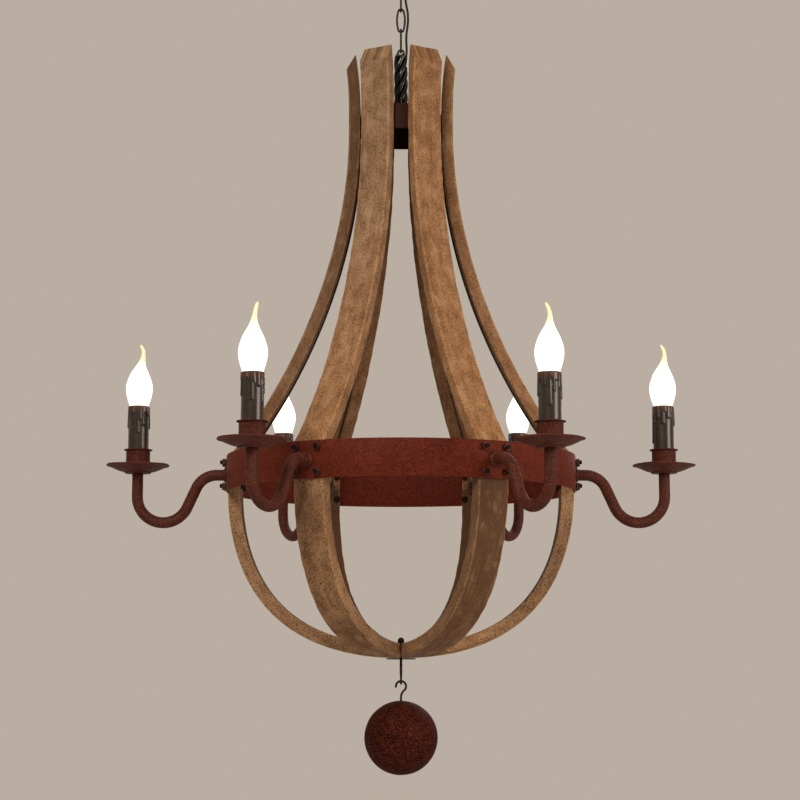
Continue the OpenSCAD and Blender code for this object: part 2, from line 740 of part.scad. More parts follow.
module drip_pans() {
    foot = cup_diameter / 2 + fit_gap + pan_wall;
    rim = pan_diameter / 2;
    step_top = pan_seat + pan_step;
    underside = [
        [foot + 0.6, step_top],
        [foot + (rim - foot) * 0.33, step_top],
        [foot + (rim - foot) * 0.66, pan_seat + pan_depth * 0.8],
        [rim, pan_seat + pan_depth]
    ];
    under = [for (t = steps(12)) bezier(underside, t)];
    over = [for (t = steps(12)) beside(underside, 1 - t, pan_wall)];
    hole = spigot_diameter / 2 + hole_gap;
    floor_z = pan_seat + pan_wall;
    color("#4c241c") every_candle() rotate_extrude() {
        polygon(concat([[hole, pan_seat], [foot, pan_seat]], under, over,
            [[foot + 0.6 - pan_wall, step_top + pan_wall], [foot - pan_wall, floor_z], [hole, floor_z]]));
        translate([rim - pan_bead / 2, pan_seat + pan_depth + pan_wall / 2]) circle(d = pan_bead, $fn = 16);
    }
}

module candle_cups() {
    outer = cup_diameter / 2;
    top = cup_seat + cup_height;
    color("#532a20") every_candle() difference() {
        union() {
            translate([0, 0, cup_seat]) cylinder(h = cup_height, r = outer);
            translate([0, 0, top - cup_floor]) cylinder(h = cup_floor, d = cup_flange);
        }
        translate([0, 0, cup_seat + cup_floor]) cylinder(h = cup_height, r = outer - cup_wall);
        translate([0, 0, cup_seat - 1]) cylinder(h = cup_floor + 2, d = spigot_diameter + 2 * hole_gap);
    }
}

module lamp_holders() {
    foot_radius = spigot_diameter / 2 + 2.5;
    shell_bottom = holder_top - base_socket - 3;
    color("#1d1917") every_candle() difference() {
        union() {
            translate([0, 0, holder_seat]) cylinder(h = holder_top - holder_seat, r = foot_radius);
            translate([0, 0, shell_bottom]) cylinder(h = holder_top - shell_bottom, d = holder_diameter);
        }
        translate([0, 0, holder_seat - 1])
            cylinder(h = spigot_top - holder_seat + 2, d = spigot_diameter + 2 * thread_gap);
        translate([0, 0, holder_seat]) cylinder(h = holder_top - holder_seat, d = spigot_bore);
        translate([0, 0, holder_top - base_socket])
            cylinder(h = base_socket + 1, d = base_diameter + 2 * hole_gap);
    }
}

module candle_sleeves() {
    color("#2c1f1b") every_candle() translate([0, 0, holder_seat])
        pipe(sleeve_length, sleeve_diameter / 2, sleeve_diameter / 2 - sleeve_wall);
}

// The glass: a neck inside the sleeve, a round belly and a bent, drawn-out tip
glass_mouth = sleeve_diameter / 2 - sleeve_wall - 0.5;
belly_z = sleeve_top + glass_height * 0.28;
tip_z = sleeve_top + glass_height * 0.48;
tip_radius = glass_diameter * 0.39;
belly_low = [
    [glass_mouth - 0.4, sleeve_top - 2],
    [glass_mouth + 0.3, sleeve_top + glass_height * 0.04],
    [glass_diameter / 2, sleeve_top + glass_height * 0.15],
    [glass_diameter / 2, belly_z]
];
belly_high = [
    [glass_diameter / 2, belly_z],
    [glass_diameter / 2, belly_z + glass_height * 0.08],
    [tip_radius * 1.13, tip_z - glass_height * 0.06],
    [tip_radius, tip_z]
];

// The tip is drawn out thin, with a blunt end. It leans to one side and back and curls across,
// as hand-drawn glass does.
tip_lean = 4.5;
tip_curl = 5;
tip_height = sleeve_top + glass_height - tip_z;
neck_radius = glass_diameter * 0.073;
drawn_neck = [
    [tip_radius - 0.1, tip_z],
    [tip_radius * 0.75, tip_z + tip_height * 0.22],
    [neck_radius * 1.3, tip_z + tip_height * 0.34],
    [neck_radius, tip_z + tip_height * 0.73]
];
blunt_end = [
    [neck_radius, tip_z + tip_height * 0.73],
    [neck_radius * 0.9, tip_z + tip_height * 0.9],
    [neck_radius * 0.85, tip_z + tip_height],
    [neck_radius * 0.15, tip_z + tip_height]
];
tip_line = concat([[tip_radius - 1, tip_z - 1.5]], [for (t = steps(8)) bezier(drawn_neck, t)],
    [for (t = [0.25 : 0.25 : 1]) bezier(blunt_end, t)]);
function tip_centre(z) = let (u = max(0, z - tip_z) / tip_height)
    [tip_lean * sin(180 * u * u), tip_curl * u * u, z];

module glass_tip() {
    sides = 16;
    last = len(tip_line) - 1;
    rings = [for (p = tip_line, s = [0 : sides - 1])
        let (a = 360 * s / sides)
        tip_centre(p.y) + p.x * [cos(a), sin(a), 0]];
    walls = [for (i = [0 : last - 1], s = [0 : sides - 1])
        let (a = i * sides + s, b = i * sides + (s + 1) % sides)
        each [[a, b + sides, b], [a, a + sides, b + sides]]];
    ends = [for (s = [1 : sides - 2]) each [[0, s, s + 1],
        [last * sides, last * sides + s + 1, last * sides + s]]];
    polyhedron(rings, concat(walls, ends));
}

module bulb_glass(i) {
    neck = base_diameter / 2 - 0.5;
    low = [for (t = steps(8)) bezier(belly_low, t)];
    high = [for (t = steps(8)) bezier(belly_high, t)];
    outside = concat([[neck, glass_start], [neck + 1.6, glass_start + 4]], low, high);
    floor_z = glass_start + 1;
    inside = [for (p = outside) if (p.y > floor_z && p.y < tip_z - 2) [p.x - glass_wall, p.y]];
    cavity = concat([[0, floor_z], [neck - glass_wall, floor_z]], inside, [[0, tip_z - 3]]);
    at = first_station + station_step * (i - 1);
    color("#fff3dc") translate([arm_reach * cos(at), arm_reach * sin(at), hoop_z])
        rotate([0, 0, glass_turns[i - 1]]) union() {
            difference() {
                rotate_extrude() polygon(concat([[0, glass_start]], outside, [[0, tip_z]]));
                rotate_extrude() polygon(cavity);
            }
            glass_tip();
        }
}

module bulb_base(i) {
    contact = 3;
    color("#b9b39c") on_hoop(i) translate([arm_reach, 0, glass_start - base_length]) union() {
        cylinder(h = base_length, d = base_diameter);
        translate([0, 0, -contact]) cylinder(h = contact, d = base_diameter / 2);
    }
}

// ---- Bottom plate, eye and ball ----

module bottom_plate() {
    color("#4a2119") translate([0, 0, plate_bottom])
        pipe(plate_thickness, plate_diameter / 2, eye_rod / 2 + hole_gap);
}

eye_nut_flats = eye_rod + 5;
eye_nut_height = 4.2;
washer_thickness = 1.2;
washer_radius = eye_nut_flats * 0.85;
lower_inner = [for (t = steps(curve_steps)) beside(lower_curve, 1 - t, -lower_thickness)];
washer_z = hoop_z + lookup(washer_radius, lower_inner) + thread_gap;

module eye_bolt() {
    rod_bottom = eye_z + eye_radius;
    rod_top = washer_z + washer_thickness + eye_nut_height + 1;
    color("#2b1a16") union() {
        rotate([0, 0, 90]) ring(eye_z, eye_radius, hook_wire);
        translate([0, 0, rod_bottom]) cylinder(h = rod_top - rod_bottom, d = eye_rod);
    }
}

module eye_bolt_nut() {
    cap = eye_nut_flats / 2;
    color("#2a1714") {
        translate([0, 0, washer_z])
            pipe(washer_thickness, washer_radius, eye_rod / 2 + hole_gap);
        translate([0, 0, washer_z + washer_thickness]) difference() {
            union() {
                hexagon(eye_nut_flats, eye_nut_height);
                translate([0, 0, eye_nut_height]) difference() {
                    sphere(r = cap);
                    translate([0, 0, -2 * cap]) cylinder(h = 2 * cap, r = 2 * cap);
                }
            }
            translate([0, 0, -1]) cylinder(h = eye_nut_height + 2.2, d = eye_rod + 2 * thread_gap);
        }
    }
}

// The hook is a question mark: its wire comes over the eye, round and back onto the axis.
hook_tip = 195;
hook_return = 50;
return_x = hook_radius * cos(hook_return);
return_radius = return_x / (1 - cos(hook_return));
return_centre = [return_radius, hook_z - (hook_radius + return_radius) * sin(hook_return)];
ball_top = return_centre.y - shank_length;
ball_z = ball_top - ball_diameter / 2;
boss_depth = 9;

module ball_hook() {
    back = arc(return_centre, return_radius, 180 - hook_return, 180, 5);
    line = concat(
        arc([0, hook_z], hook_radius, hook_tip, -hook_return, 20),
        [for (i = [1 : 5]) back[i]],
        [[0, ball_top - boss_depth]]
    );
    color("#2b1a16") sweep(in_plane(line), hook_wire, 8);
}

module ball() {
    color("#3f1d17") translate([0, 0, ball_z]) difference() {
        sphere(d = ball_diameter);
        difference() {
            sphere(d = ball_diameter - 2 * ball_wall);
            translate([0, 0, ball_diameter / 2 - boss_depth - 3]) cylinder(h = boss_depth + 3, r = hook_wire + 2);
        }
        translate([0, 0, ball_diameter / 2 - boss_depth - 1])
            cylinder(h = boss_depth + 2, d = hook_wire + 2 * thread_gap);
    }
}

canopy();
mounting_bar();
terminal_block();
canopy_ring_nut();
canopy_loop();
cable_bush();
for (i = [1 : links]) chain_link(i);
supply_cable();
stem_eye();
stem_nut();
wire_bundle();
hub_drum();
hub_screws();
for (i = [1 : stations]) upper_stave(i);
for (i = [1 : stations]) lower_stave(i);
hoop();
hoop_bolts();
hoop_nuts();
arm_nuts();
stave_flex();
for (i = [1 : stations]) arm(i);
drip_pans();
candle_cups();
lamp_holders();
candle_sleeves();
for (i = [1 : stations]) bulb_glass(i);
for (i = [1 : stations]) bulb_base(i);
bottom_plate();
eye_bolt();
eye_bolt_nut();
ball_hook();
ball();
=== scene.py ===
import json
import random
from math import atan, cos, degrees, exp, hypot, pi, radians, sin, sqrt, tan, tau
import bmesh
import bpy
from mathutils import Matrix, Vector, noise


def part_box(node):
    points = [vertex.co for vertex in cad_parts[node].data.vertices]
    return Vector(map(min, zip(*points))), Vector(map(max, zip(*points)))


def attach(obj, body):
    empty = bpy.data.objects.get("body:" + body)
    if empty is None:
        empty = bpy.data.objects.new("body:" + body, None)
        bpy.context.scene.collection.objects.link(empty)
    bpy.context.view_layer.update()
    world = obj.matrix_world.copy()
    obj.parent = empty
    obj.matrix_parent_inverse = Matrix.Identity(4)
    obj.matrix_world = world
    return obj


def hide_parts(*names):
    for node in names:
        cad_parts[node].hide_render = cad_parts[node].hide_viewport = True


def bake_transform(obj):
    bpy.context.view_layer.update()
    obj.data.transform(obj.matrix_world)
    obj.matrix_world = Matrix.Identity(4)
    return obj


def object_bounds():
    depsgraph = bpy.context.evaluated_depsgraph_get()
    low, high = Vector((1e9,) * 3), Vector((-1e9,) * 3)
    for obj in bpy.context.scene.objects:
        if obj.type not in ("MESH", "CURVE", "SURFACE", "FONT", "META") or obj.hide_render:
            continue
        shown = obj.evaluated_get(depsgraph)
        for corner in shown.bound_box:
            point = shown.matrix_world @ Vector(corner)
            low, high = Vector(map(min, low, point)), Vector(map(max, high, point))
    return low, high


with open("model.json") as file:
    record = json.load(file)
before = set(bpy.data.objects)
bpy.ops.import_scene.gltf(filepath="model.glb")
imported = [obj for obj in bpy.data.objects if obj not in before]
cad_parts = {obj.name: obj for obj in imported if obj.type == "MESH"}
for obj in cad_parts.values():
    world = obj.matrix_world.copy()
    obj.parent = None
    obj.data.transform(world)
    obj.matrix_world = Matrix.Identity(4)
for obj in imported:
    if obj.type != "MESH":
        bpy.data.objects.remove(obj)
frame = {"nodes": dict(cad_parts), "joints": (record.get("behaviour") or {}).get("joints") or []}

cad_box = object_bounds()

# ---- Studio ----
# A pale floor far under the lamp fades into a pale backdrop. One large soft lamp stands on each
# side of the camera, and a third lights the back.

def linear(hex_colour):
    """An sRGB hex colour as the linear colour that a shader takes."""
    channels = [int(hex_colour[i:i + 2], 16) / 255 for i in (1, 3, 5)]
    return [c / 12.92 if c <= 0.04045 else ((c + 0.055) / 1.055) ** 2.4 for c in channels] + [1]


def set_inputs(node, inputs):
    """Gives each input its value, or a link where another node's output is given."""
    for key, value in inputs.items():
        if isinstance(value, bpy.types.NodeSocket):
            node.id_data.links.new(value, node.inputs[key])
        else:
            node.inputs[key].default_value = value


def add_node(tree, kind, inputs=None, **settings):
    """Adds a shader node of that kind with its settings, its values and its links."""
    made = tree.nodes.new("ShaderNode" + kind)
    for name, value in settings.items():
        setattr(made, name, value)
    set_inputs(made, inputs or {})
    return made


def new_material(name):
    """A material, its node tree, its shader and the place of each point in metres."""
    made = bpy.data.materials.new(name)
    made.use_nodes = True
    tree = made.node_tree
    place = add_node(tree, "TexCoord").outputs["Object"]
    return made, tree, tree.nodes["Principled BSDF"], place


MM = 0.001
BACKDROP = "#b9aea1"
AMBIENT, AMBIENT_STRENGTH = "#f4efe8", 0.32
FLOOR_DROP = 0.75           # metres from the ball down to the floor
FLOOR_FADE = (0.9, 4.5)     # metres from the axis over which the floor fades out
FLOOR_SIZE = 20

scene = bpy.context.scene
scene.view_settings.view_transform = "Standard"

world = bpy.data.worlds.new("pale_backdrop")
scene.world = world
world.use_nodes = True
tree = world.node_tree
tree.nodes.clear()
rays = add_node(tree, "LightPath").outputs
mirrored = add_node(tree, "Math", {0: rays["Is Glossy Ray"], 1: rays["Is Transmission Ray"]},
                    operation="ADD").outputs[0]
seen = add_node(tree, "Math", {0: rays["Is Camera Ray"], 1: mirrored}, operation="ADD",
                use_clamp=True).outputs[0]
ambient = add_node(tree, "Background", {"Color": linear(AMBIENT), "Strength": AMBIENT_STRENGTH})
backdrop = add_node(tree, "Background", {"Color": linear(BACKDROP), "Strength": 1.0})
sky = add_node(tree, "MixShader", {0: seen, 1: ambient.outputs[0], 2: backdrop.outputs[0]})
add_node(tree, "OutputWorld", {"Surface": sky.outputs[0]})

# Matt painted board: it takes a soft shadow and has no shine.
floor_paint, tree, shader, place = new_material("studio_floor")
from_axis = add_node(tree, "VectorMath", {0: place}, operation="LENGTH").outputs["Value"]
fade = add_node(tree, "MapRange",
                {"Value": from_axis, "From Min": FLOOR_FADE[0], "From Max": FLOOR_FADE[1],
                 "To Min": 1.0, "To Max": 0.0}, interpolation_type="SMOOTHSTEP").outputs["Result"]
set_inputs(shader, {"Base Color": linear("#ded8ce"), "Roughness": 0.9, "Alpha": fade})
bpy.ops.mesh.primitive_plane_add(size=FLOOR_SIZE, location=(0, 0, cad_box[0][2] - FLOOR_DROP))
floor = bpy.context.object
floor.name = "studio_floor"
floor.data.materials.append(floor_paint)

# Each lamp's place and size in metres, its watts and its colour
LAMPS = {"key": ((-1.0, -2.7, 0.9), 1.1, 59, "#fff1de"),
         "fill": ((2.5, -1.5, -0.3), 1.4, 38, "#fff1e0"),
         "back": ((0.9, 2.6, 0.5), 1.4, 28, "#fbf6ff")}
LAMP_AIM = Vector((0, 0, -0.62))
for name, (at, size, power, tint) in LAMPS.items():
    light = bpy.data.lights.new(name, "AREA")
    light.size = size
    light.energy = power
    light.color = linear(tint)[:3]
    lamp = bpy.data.objects.new(name, light)
    lamp.location = at
    lamp.rotation_euler = (LAMP_AIM - Vector(at)).to_track_quat("-Z", "Y").to_euler()
    scene.collection.objects.link(lamp)

PHOTO_WIDTH = 800           # pixels
FOCAL_PIXELS = 1912.3
CAMERA_AT = (-0.00135, -2.58336, -1.0242)
CAMERA_TILT = 7.869         # degrees that it looks up
camera_data = bpy.data.cameras.new("camera")
camera_data.sensor_width = 36
camera_data.lens = FOCAL_PIXELS / PHOTO_WIDTH * camera_data.sensor_width
camera = bpy.data.objects.new("camera", camera_data)
camera.location = CAMERA_AT
camera.rotation_euler = (radians(90 + CAMERA_TILT), 0, 0)
scene.collection.objects.link(camera)
scene.camera = camera

# ---- Hoop ----
# A strip of mild steel, 48 by 3 mm, rolled to a ring and welded. Every stave and arm is bolted
# to it. Its paint imitates rust: red-brown, mottled, nearly matt and full of fine grit.

STATIONS = range(1, 7)
HOOP_OUTER = 236
HOOP_WALL = 3
HOOP_INNER = HOOP_OUTER - HOOP_WALL
HOOP_HEIGHT = 48
low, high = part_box("hoop")
HOOP_Z = (low[2] + high[2]) / 2 / MM


def skin(rings, closed=False):
    """The surface over rings of points, with flat ends unless its last ring meets its first."""
    size, count = len(rings[0]), len(rings)
    faces = [[i * size + s, i * size + (s + 1) % size, (i + 1) % count * size + (s + 1) % size,
              (i + 1) % count * size + s]
             for i in range(count if closed else count - 1) for s in range(size)]
    if not closed:
        faces += [list(range(size)), list(range((count - 1) * size, count * size))]
    return [p for ring in rings for p in ring], faces


def turned(outline, sides=96):
    """A closed outline of (radius, height) turned about the Z axis."""
    angles = [tau * i / sides for i in range(sides)]
    return skin([[(r * cos(a), r * sin(a), z) for r, z in outline] for a in angles], True)


def moved(part, *places):
    """A part taken through placing matrices, the last one first."""
    whole = Matrix.Identity(4)
    for matrix in places:
        whole = whole @ matrix
    return [whole @ Vector(p) for p in part[0]], part[1]


def shifted(x=0, y=0, z=0):
    """The matrix that shifts a part."""
    return Matrix.Translation((x, y, z))


def spun(angle):
    """The matrix that turns a part about the Z axis by an angle in degrees."""
    return Matrix.Rotation(radians(angle), 4, "Z")


def station(i):
    """Takes a part from the XZ plane, with heights from the hoop's middle, to its station."""
    return shifted(z=HOOP_Z) @ spun(60 * i - 180)


def add_piece(name, parts, material, body, nodes, sharp=35, attributes=None):
    """Joins parts to one piece, smooth but for edges sharper than the angle, on a CAD body."""
    points, faces = [], []
    for part_points, part_faces in parts:
        faces += [[len(points) + i for i in face] for face in part_faces]
        points += [Vector(p) * MM for p in part_points]
    mesh = bpy.data.meshes.new(name)
    mesh.from_pydata(points, [], faces)
    for key, values in (attributes or {}).items():
        if hasattr(values[0], "__len__"):
            flat = [x for v in values for x in v]
            mesh.attributes.new(key, "FLOAT_VECTOR", "POINT").data.foreach_set("vector", flat)
        else:
            mesh.attributes.new(key, "FLOAT", "POINT").data.foreach_set("value", values)
    shape = bmesh.new()
    shape.from_mesh(mesh)
    bmesh.ops.remove_doubles(shape, verts=shape.verts, dist=0.001 * MM)
    bmesh.ops.recalc_face_normals(shape, faces=shape.faces)
    shape.to_mesh(mesh)
    shape.free()
    mesh.polygons.foreach_set("use_smooth", [True] * len(mesh.polygons))
    mesh.set_sharp_from_angle(angle=radians(sharp))
    mesh.materials.append(material)
    piece = bpy.data.objects.new(name, mesh)
    scene.collection.objects.link(piece)
    if body:
        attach(piece, body)
    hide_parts(*nodes)
    return piece


def coated(tree, ground, coats):
    """Lays coats of colour over a ground. A coat is its mask, the mask's value where the coat
    starts and where it is full, how much it then covers, and its colour."""
    colour = linear(ground)
    for mask, start, full, cover, tint in coats:
        share = add_node(tree, "MapRange", {"Value": mask, "From Min": start, "From Max": full,
                                            "To Max": cover}).outputs[0]
        colour = add_node(tree, "Mix", {0: share, 6: colour, 7: linear(tint)},
                          data_type="RGBA").outputs[2]
    return colour


CLOUD, PATCH = 55, 13       # mm: how the paint was sponged on


def rust_painted(name, ground, light, dark, grit=1.6, rough=0.58, gloss=0.18, relief=0.12):
    """Steel under rust-effect paint. It gives the eye a dull red-brown, freckled with light and
    dark grit, and a soft broken shine. Grit is a grain's size and relief its height, in mm. The
    real grit is about 0.4 mm, too fine to show, so it is drawn 1 to 1.6 mm."""
    made, tree, shader, place = new_material(name)
    clouds, patches, grains, dust = [
        add_node(tree, "TexNoise", {"Vector": place, "Scale": 1000 / size, "Detail": 3,
                                    "Roughness": 0.6}).outputs[0]
        for size in (CLOUD, PATCH, grit * 1.6, grit * 0.8)]
    colour = coated(tree, ground, [
        (clouds, 0.45, 0.65, 0.4, dark), (patches, 0.52, 0.7, 0.3, light),
        (grains, 0.5, 0.66, 0.6, light), (dust, 0.54, 0.68, 0.55, light),
        (grains, 0.47, 0.34, 0.75, dark), (dust, 0.45, 0.32, 0.6, dark)])
    uneven = add_node(tree, "MapRange", {"Value": grains, "From Min": 0.35, "From Max": 0.65,
                                         "To Min": rough - 0.1, "To Max": rough + 0.14})
    heights = add_node(tree, "Math", {0: dust, 1: grains}, operation="ADD").outputs[0]
    bump = add_node(tree, "Bump", {"Height": heights, "Strength": 0.7, "Distance": relief * MM})
    set_inputs(shader, {"Base Color": colour, "Roughness": uneven.outputs[0],
                        "Specular IOR Level": gloss, "Normal": bump.outputs[0]})
    return made


def strip_outline(inner, outer, low, high, edge):
    """The section of a flat ring with softened edges, as (radius, height)."""
    at = 0.3 * edge
    return [(inner + edge, low), (outer - edge, low), (outer - at, low + at), (outer, low + edge),
            (outer, high - edge), (outer - at, high - at), (outer - edge, high), (inner + edge, high),
            (inner + at, high - at), (inner, high - edge), (inner, low + edge), (inner + at, low + at)]


# The brightest paint on the lamp, with fine grit
hoop_paint = rust_painted("rust_paint_hoop", "#5a1e12", "#833a26", "#3a1109", grit=1.05, rough=0.62,
                          gloss=0.1)
HOOP_WAVE = 0.25            # how far rolling and welding left the strip from a true ring
strip = strip_outline(HOOP_INNER, HOOP_OUTER, -HOOP_HEIGHT / 2, HOOP_HEIGHT / 2, 0.8)
rings = []
for k in range(360):
    turn = radians(k)
    wave = HOOP_WAVE * noise.noise(Vector((cos(turn), sin(turn), 0)) * 3.1)
    rings.append([((r + wave * 0.5) * cos(turn), (r + wave * 0.5) * sin(turn), z + wave + HOOP_Z)
                  for r, z in strip])
add_piece("hoop_strip", [skin(rings, True)], hoop_paint, "frame", ["hoop"])

# ---- Lower staves ----
# Six bent oak boards, 45 by 17.5 mm, bolted upright inside the hoop. They close a bowl, where
# their tips are mitred to 60 degrees and clamped on the plate below.

STAVE_WIDTH = 45
STAVE_FACE = HOOP_INNER - 0.3
LOWER_THICK = 17.5
SEAT = STAVE_FACE - LOWER_THICK
BOWL_DEPTH = 246
BOWL_STRAIGHT = 18.6
SIDE_PULL, FLOOR_PULL = 114, 179
LOWER_CURVE = [(STAVE_FACE, -BOWL_STRAIGHT), (STAVE_FACE, -BOWL_STRAIGHT - SIDE_PULL),
               (FLOOR_PULL, -BOWL_DEPTH), (0, -BOWL_DEPTH)]
STAVE_TIP = 2.3             # where the staves' points are cut off
WANDER, WANDER_LENGTH = 0.22, 38        # how far a face strays from true
RUB, RUB_LENGTH = 0.9, 13               # how far an arris is rubbed down


def bezier(ends, t):
    """The point at t on a curve of four points, as a vector."""
    a, b, c, d = map(Vector, ends)
    return (1 - t) ** 3 * a + 3 * (1 - t) ** 2 * t * b + 3 * (1 - t) * t * t * c + t ** 3 * d


def beside(ends, t, gap):
    """The point at that gap to the left of the curve, as it runs."""
    along = (bezier(ends, min(1, t + 0.001)) - bezier(ends, max(0, t - 0.001))).normalized()
    return bezier(ends, t) + gap * Vector((-along.y, along.x))


def bent(ends, thick, steps):
    """The (outer, inner) pairs of a board that is bent along a curve, without the first."""
    return [(bezier(ends, k / steps), beside(ends, k / steps, -thick)) for k in range(1, steps + 1)]


def cut(outer, inner):
    """The (outer, inner) pair of points where a board is cut across, each given as (radius, z)."""
    return Vector(outer), Vector(inner)


def between(a, b, count):
    """Count steps from one (outer, inner) pair of points to another, without the first."""
    return [tuple(p.lerp(q, k / count) for p, q in zip(a, b)) for k in range(1, count + 1)]


def board_section(half, thick, edge=1.7, worn=3.2):
    """The board's section as (across, depth, nearness to a worn edge), round from its outer face."""
    near, soft = min(worn, half * 0.6), min(edge, half * 0.4)
    faces = [half - soft, half - near, half * 0.62, half * 0.3]
    across = [-f for f in faces] + [0] + faces[::-1]
    depths = [soft, worn, thick / 2, thick - worn, thick - soft]
    worn_at = {half - soft: 0.75, half - near: 0.12}
    outside = [(v, 0, worn_at.get(abs(v), 0)) for v in across]
    side = [(half, d, 0.75 if d in (soft, thick - soft) else 0.12 if abs(d - thick / 2) > 1 else 0)
            for d in depths]
    corner = 0.3 * soft
    return (outside + [(half - corner, corner, 1)] + side + [(half - corner, thick - corner, 1)]
            + [(-v, thick, w) for v, _, w in outside] + [(corner - half, thick - corner, 1)]
            + [(-half, thick - d, w) for _, d, w in side] + [(corner - half, corner, 1)])


def board(slices, half_width, seed, first_tint_and_shade, last_tint_and_shade):
    """A bent board through (outer, inner) pairs, and for each point its place along the grain, its
    wear and its tint and painted shade (how orange, how dark), running from the first pair to the
    last.
    The faces wander a little and the arrises are rubbed down."""
    rings, grain, wear, tint_and_shade = [], [], [], []
    travelled, before = 0, None
    for k, (outer, inner) in enumerate(slices):
        tint = Vector(first_tint_and_shade).lerp(Vector(last_tint_and_shade), k / (len(slices) - 1))
        middle = (outer + inner) / 2
        travelled += (middle - before).length if before else 0
        before = middle
        thick = (outer - inner).length
        sawn = k in (0, len(slices) - 1)
        ring = []
        for v, d, near in board_section(STAVE_WIDTH / 2, thick):
            level = outer.lerp(inner, d / thick)
            v *= half_width(level.x) / (STAVE_WIDTH / 2)
            at = Vector((v, d, travelled))
            rub = WANDER * (1 + noise.noise(at / WANDER_LENGTH + Vector((seed, 0, 0))))
            rub += near * RUB * max(0, 0.35 + noise.noise(at / RUB_LENGTH + Vector((0, seed, 0))))
            rub += RUB if sawn else 0
            inward = Vector((middle.x - level.x, -v, middle.y - level.y))
            ring.append(Vector((level.x, v, level.y)) + inward.normalized() * rub)
            grain.append((v + 90 * seed, 0.5 if sawn else d, travelled + 700 * seed))
            wear.append(max(near, 0.35 if sawn else 0))
            tint_and_shade.append((*tint, 0))
        rings.append(ring)
    return skin(rings), {"grain": grain, "wear": wear, "tint_and_shade": tint_and_shade}


def weathered_oak(name, pale, ground, orange, brown, sides_fresh_and_lit, pits, thick, inside):
    """Old oak barrel stave, scrubbed and lightly oiled. It gives the eye a dry tan, pitted with
    short dark pores along the grain, mottled where it weathered, and paler on rubbed arrises.
    From 0 to 1, the amounts for the sides, the pits and the inside say how much the sawn sides are
    paler (fresh wood, and painted light), the pits show and the inner face is darkened as painted
    shade."""
    made, tree, shader, _ = new_material(name)
    grain = add_node(tree, "Attribute", attribute_name="grain").outputs["Vector"]
    wear = add_node(tree, "Attribute", attribute_name="wear").outputs["Fac"]
    tint_and_shade = add_node(tree, "Attribute", attribute_name="tint_and_shade").outputs["Vector"]
    tint_and_shade = add_node(tree, "SeparateXYZ", {0: tint_and_shade}).outputs
    depth = add_node(tree, "SeparateXYZ", {0: grain}).outputs["Y"]
    # Marks of noise that measure so many mm across and along the grain. Oak's pores are 0.3 mm
    # wide, too fine to show, so they are drawn 1.5 mm wide.
    marks = {}
    for mark, across, along, detail, rough in (
            ("stains", 34, 110, 3, 0.55), ("mottle", 12, 24, 4, 0.6), ("fibres", 3, 70, 3, 0.6),
            ("pores", 1.5, 2.7, 2, 0.55), ("pits", 3.2, 5, 2, 0.5)):
        scaled = add_node(tree, "VectorMath", {0: grain, 1: (1 / across, 1 / across, 1 / along)},
                          operation="MULTIPLY").outputs[0]
        marks[mark] = add_node(tree, "TexNoise", {"Vector": scaled, "Scale": 1, "Detail": detail,
                                                  "Roughness": rough}).outputs[0]
    # The pores crowd together where the mottle is dark
    crowd = add_node(tree, "MapRange", {"Value": marks["mottle"], "From Min": 0.35,
                                        "From Max": 0.65, "To Min": -0.05, "To Max": 0.07})
    pored = add_node(tree, "Math", {0: marks["pores"], 1: crowd.outputs[0]}, operation="ADD")
    checks = add_node(tree, "TexVoronoi", {"Vector": grain, "Scale": 1 / 24}).outputs["Distance"]
    # Among these coats, each stave's dark share and the inner face's coat are painted shade. The sawn
    # sides' fresh coat and the orange at the uprights' feet are partly painted light.
    colour = coated(tree, ground, [
        (marks["stains"], 0.44, 0.62, 0.75, pale), (tint_and_shade["X"], 0, 1, 0.72, orange),
        (marks["stains"], 0.45, 0.3, 0.5, brown), (tint_and_shade["Y"], 0, 1, 0.7, "#432a1a"),
        (marks["mottle"], 0.49, 0.68, 0.45, brown), (marks["mottle"], 0.47, 0.32, 0.5, pale),
        (marks["fibres"], 0.52, 0.72, 0.3, brown), (marks["fibres"], 0.46, 0.32, 0.25, pale),
        (depth, 1.8, 4, sides_fresh_and_lit, "#ae8663"), (depth, thick - 1, thick - 0.1, inside, "#38200f"),
        (tint_and_shade["Y"], 0, 1, 0.6, "#432a1a"), (wear, 0.3, 1, 0.35, "#c49b6b"),
        (pored.outputs[0], 0.5, 0.62, 0.75 * pits, "#553620"),
        (marks["pits"], 0.61, 0.7, 0.6 * pits, "#43291a"), (checks, 0.06, 0.035, 0.9, "#26170d")])
    raised = add_node(tree, "Math", {0: marks["fibres"], 1: marks["mottle"]}, operation="ADD")
    pitted = add_node(tree, "Math", {0: marks["pores"], 1: marks["pits"]}, operation="ADD")
    heights = add_node(tree, "Math", {0: raised.outputs[0], 1: pitted.outputs[0]},
                       operation="SUBTRACT").outputs[0]
    bump = add_node(tree, "Bump", {"Height": heights, "Strength": 0.8, "Distance": 0.4 * MM})
    set_inputs(shader, {"Base Color": colour, "Roughness": 0.8, "Specular IOR Level": 0.25,
                        "Normal": bump.outputs[0]})
    return made


# The bowl staves' sides take much painted light, and their inner faces much painted shade.
lower_oak = weathered_oak("weathered_oak_bowl", "#b89270", "#916f52", "#9b683f", "#5f3c25", sides_fresh_and_lit=0.55,
                          pits=1.0, thick=LOWER_THICK, inside=0.75)

slices = [cut((STAVE_FACE, 0), (SEAT, 0)), cut((STAVE_FACE, -1.2), (SEAT, -1.2))]
slices += between(slices[-1], cut((STAVE_FACE, -BOWL_STRAIGHT), (SEAT, -BOWL_STRAIGHT)), 4)
slices += [pair for pair in bent(LOWER_CURVE, LOWER_THICK, 90) if pair[0].x > STAVE_TIP]


def mitred(radius):
    """Half the stave's width at a distance from the axis."""
    return max(0.2, min(STAVE_WIDTH / 2, (radius - 0.25) * tan(radians(30))))
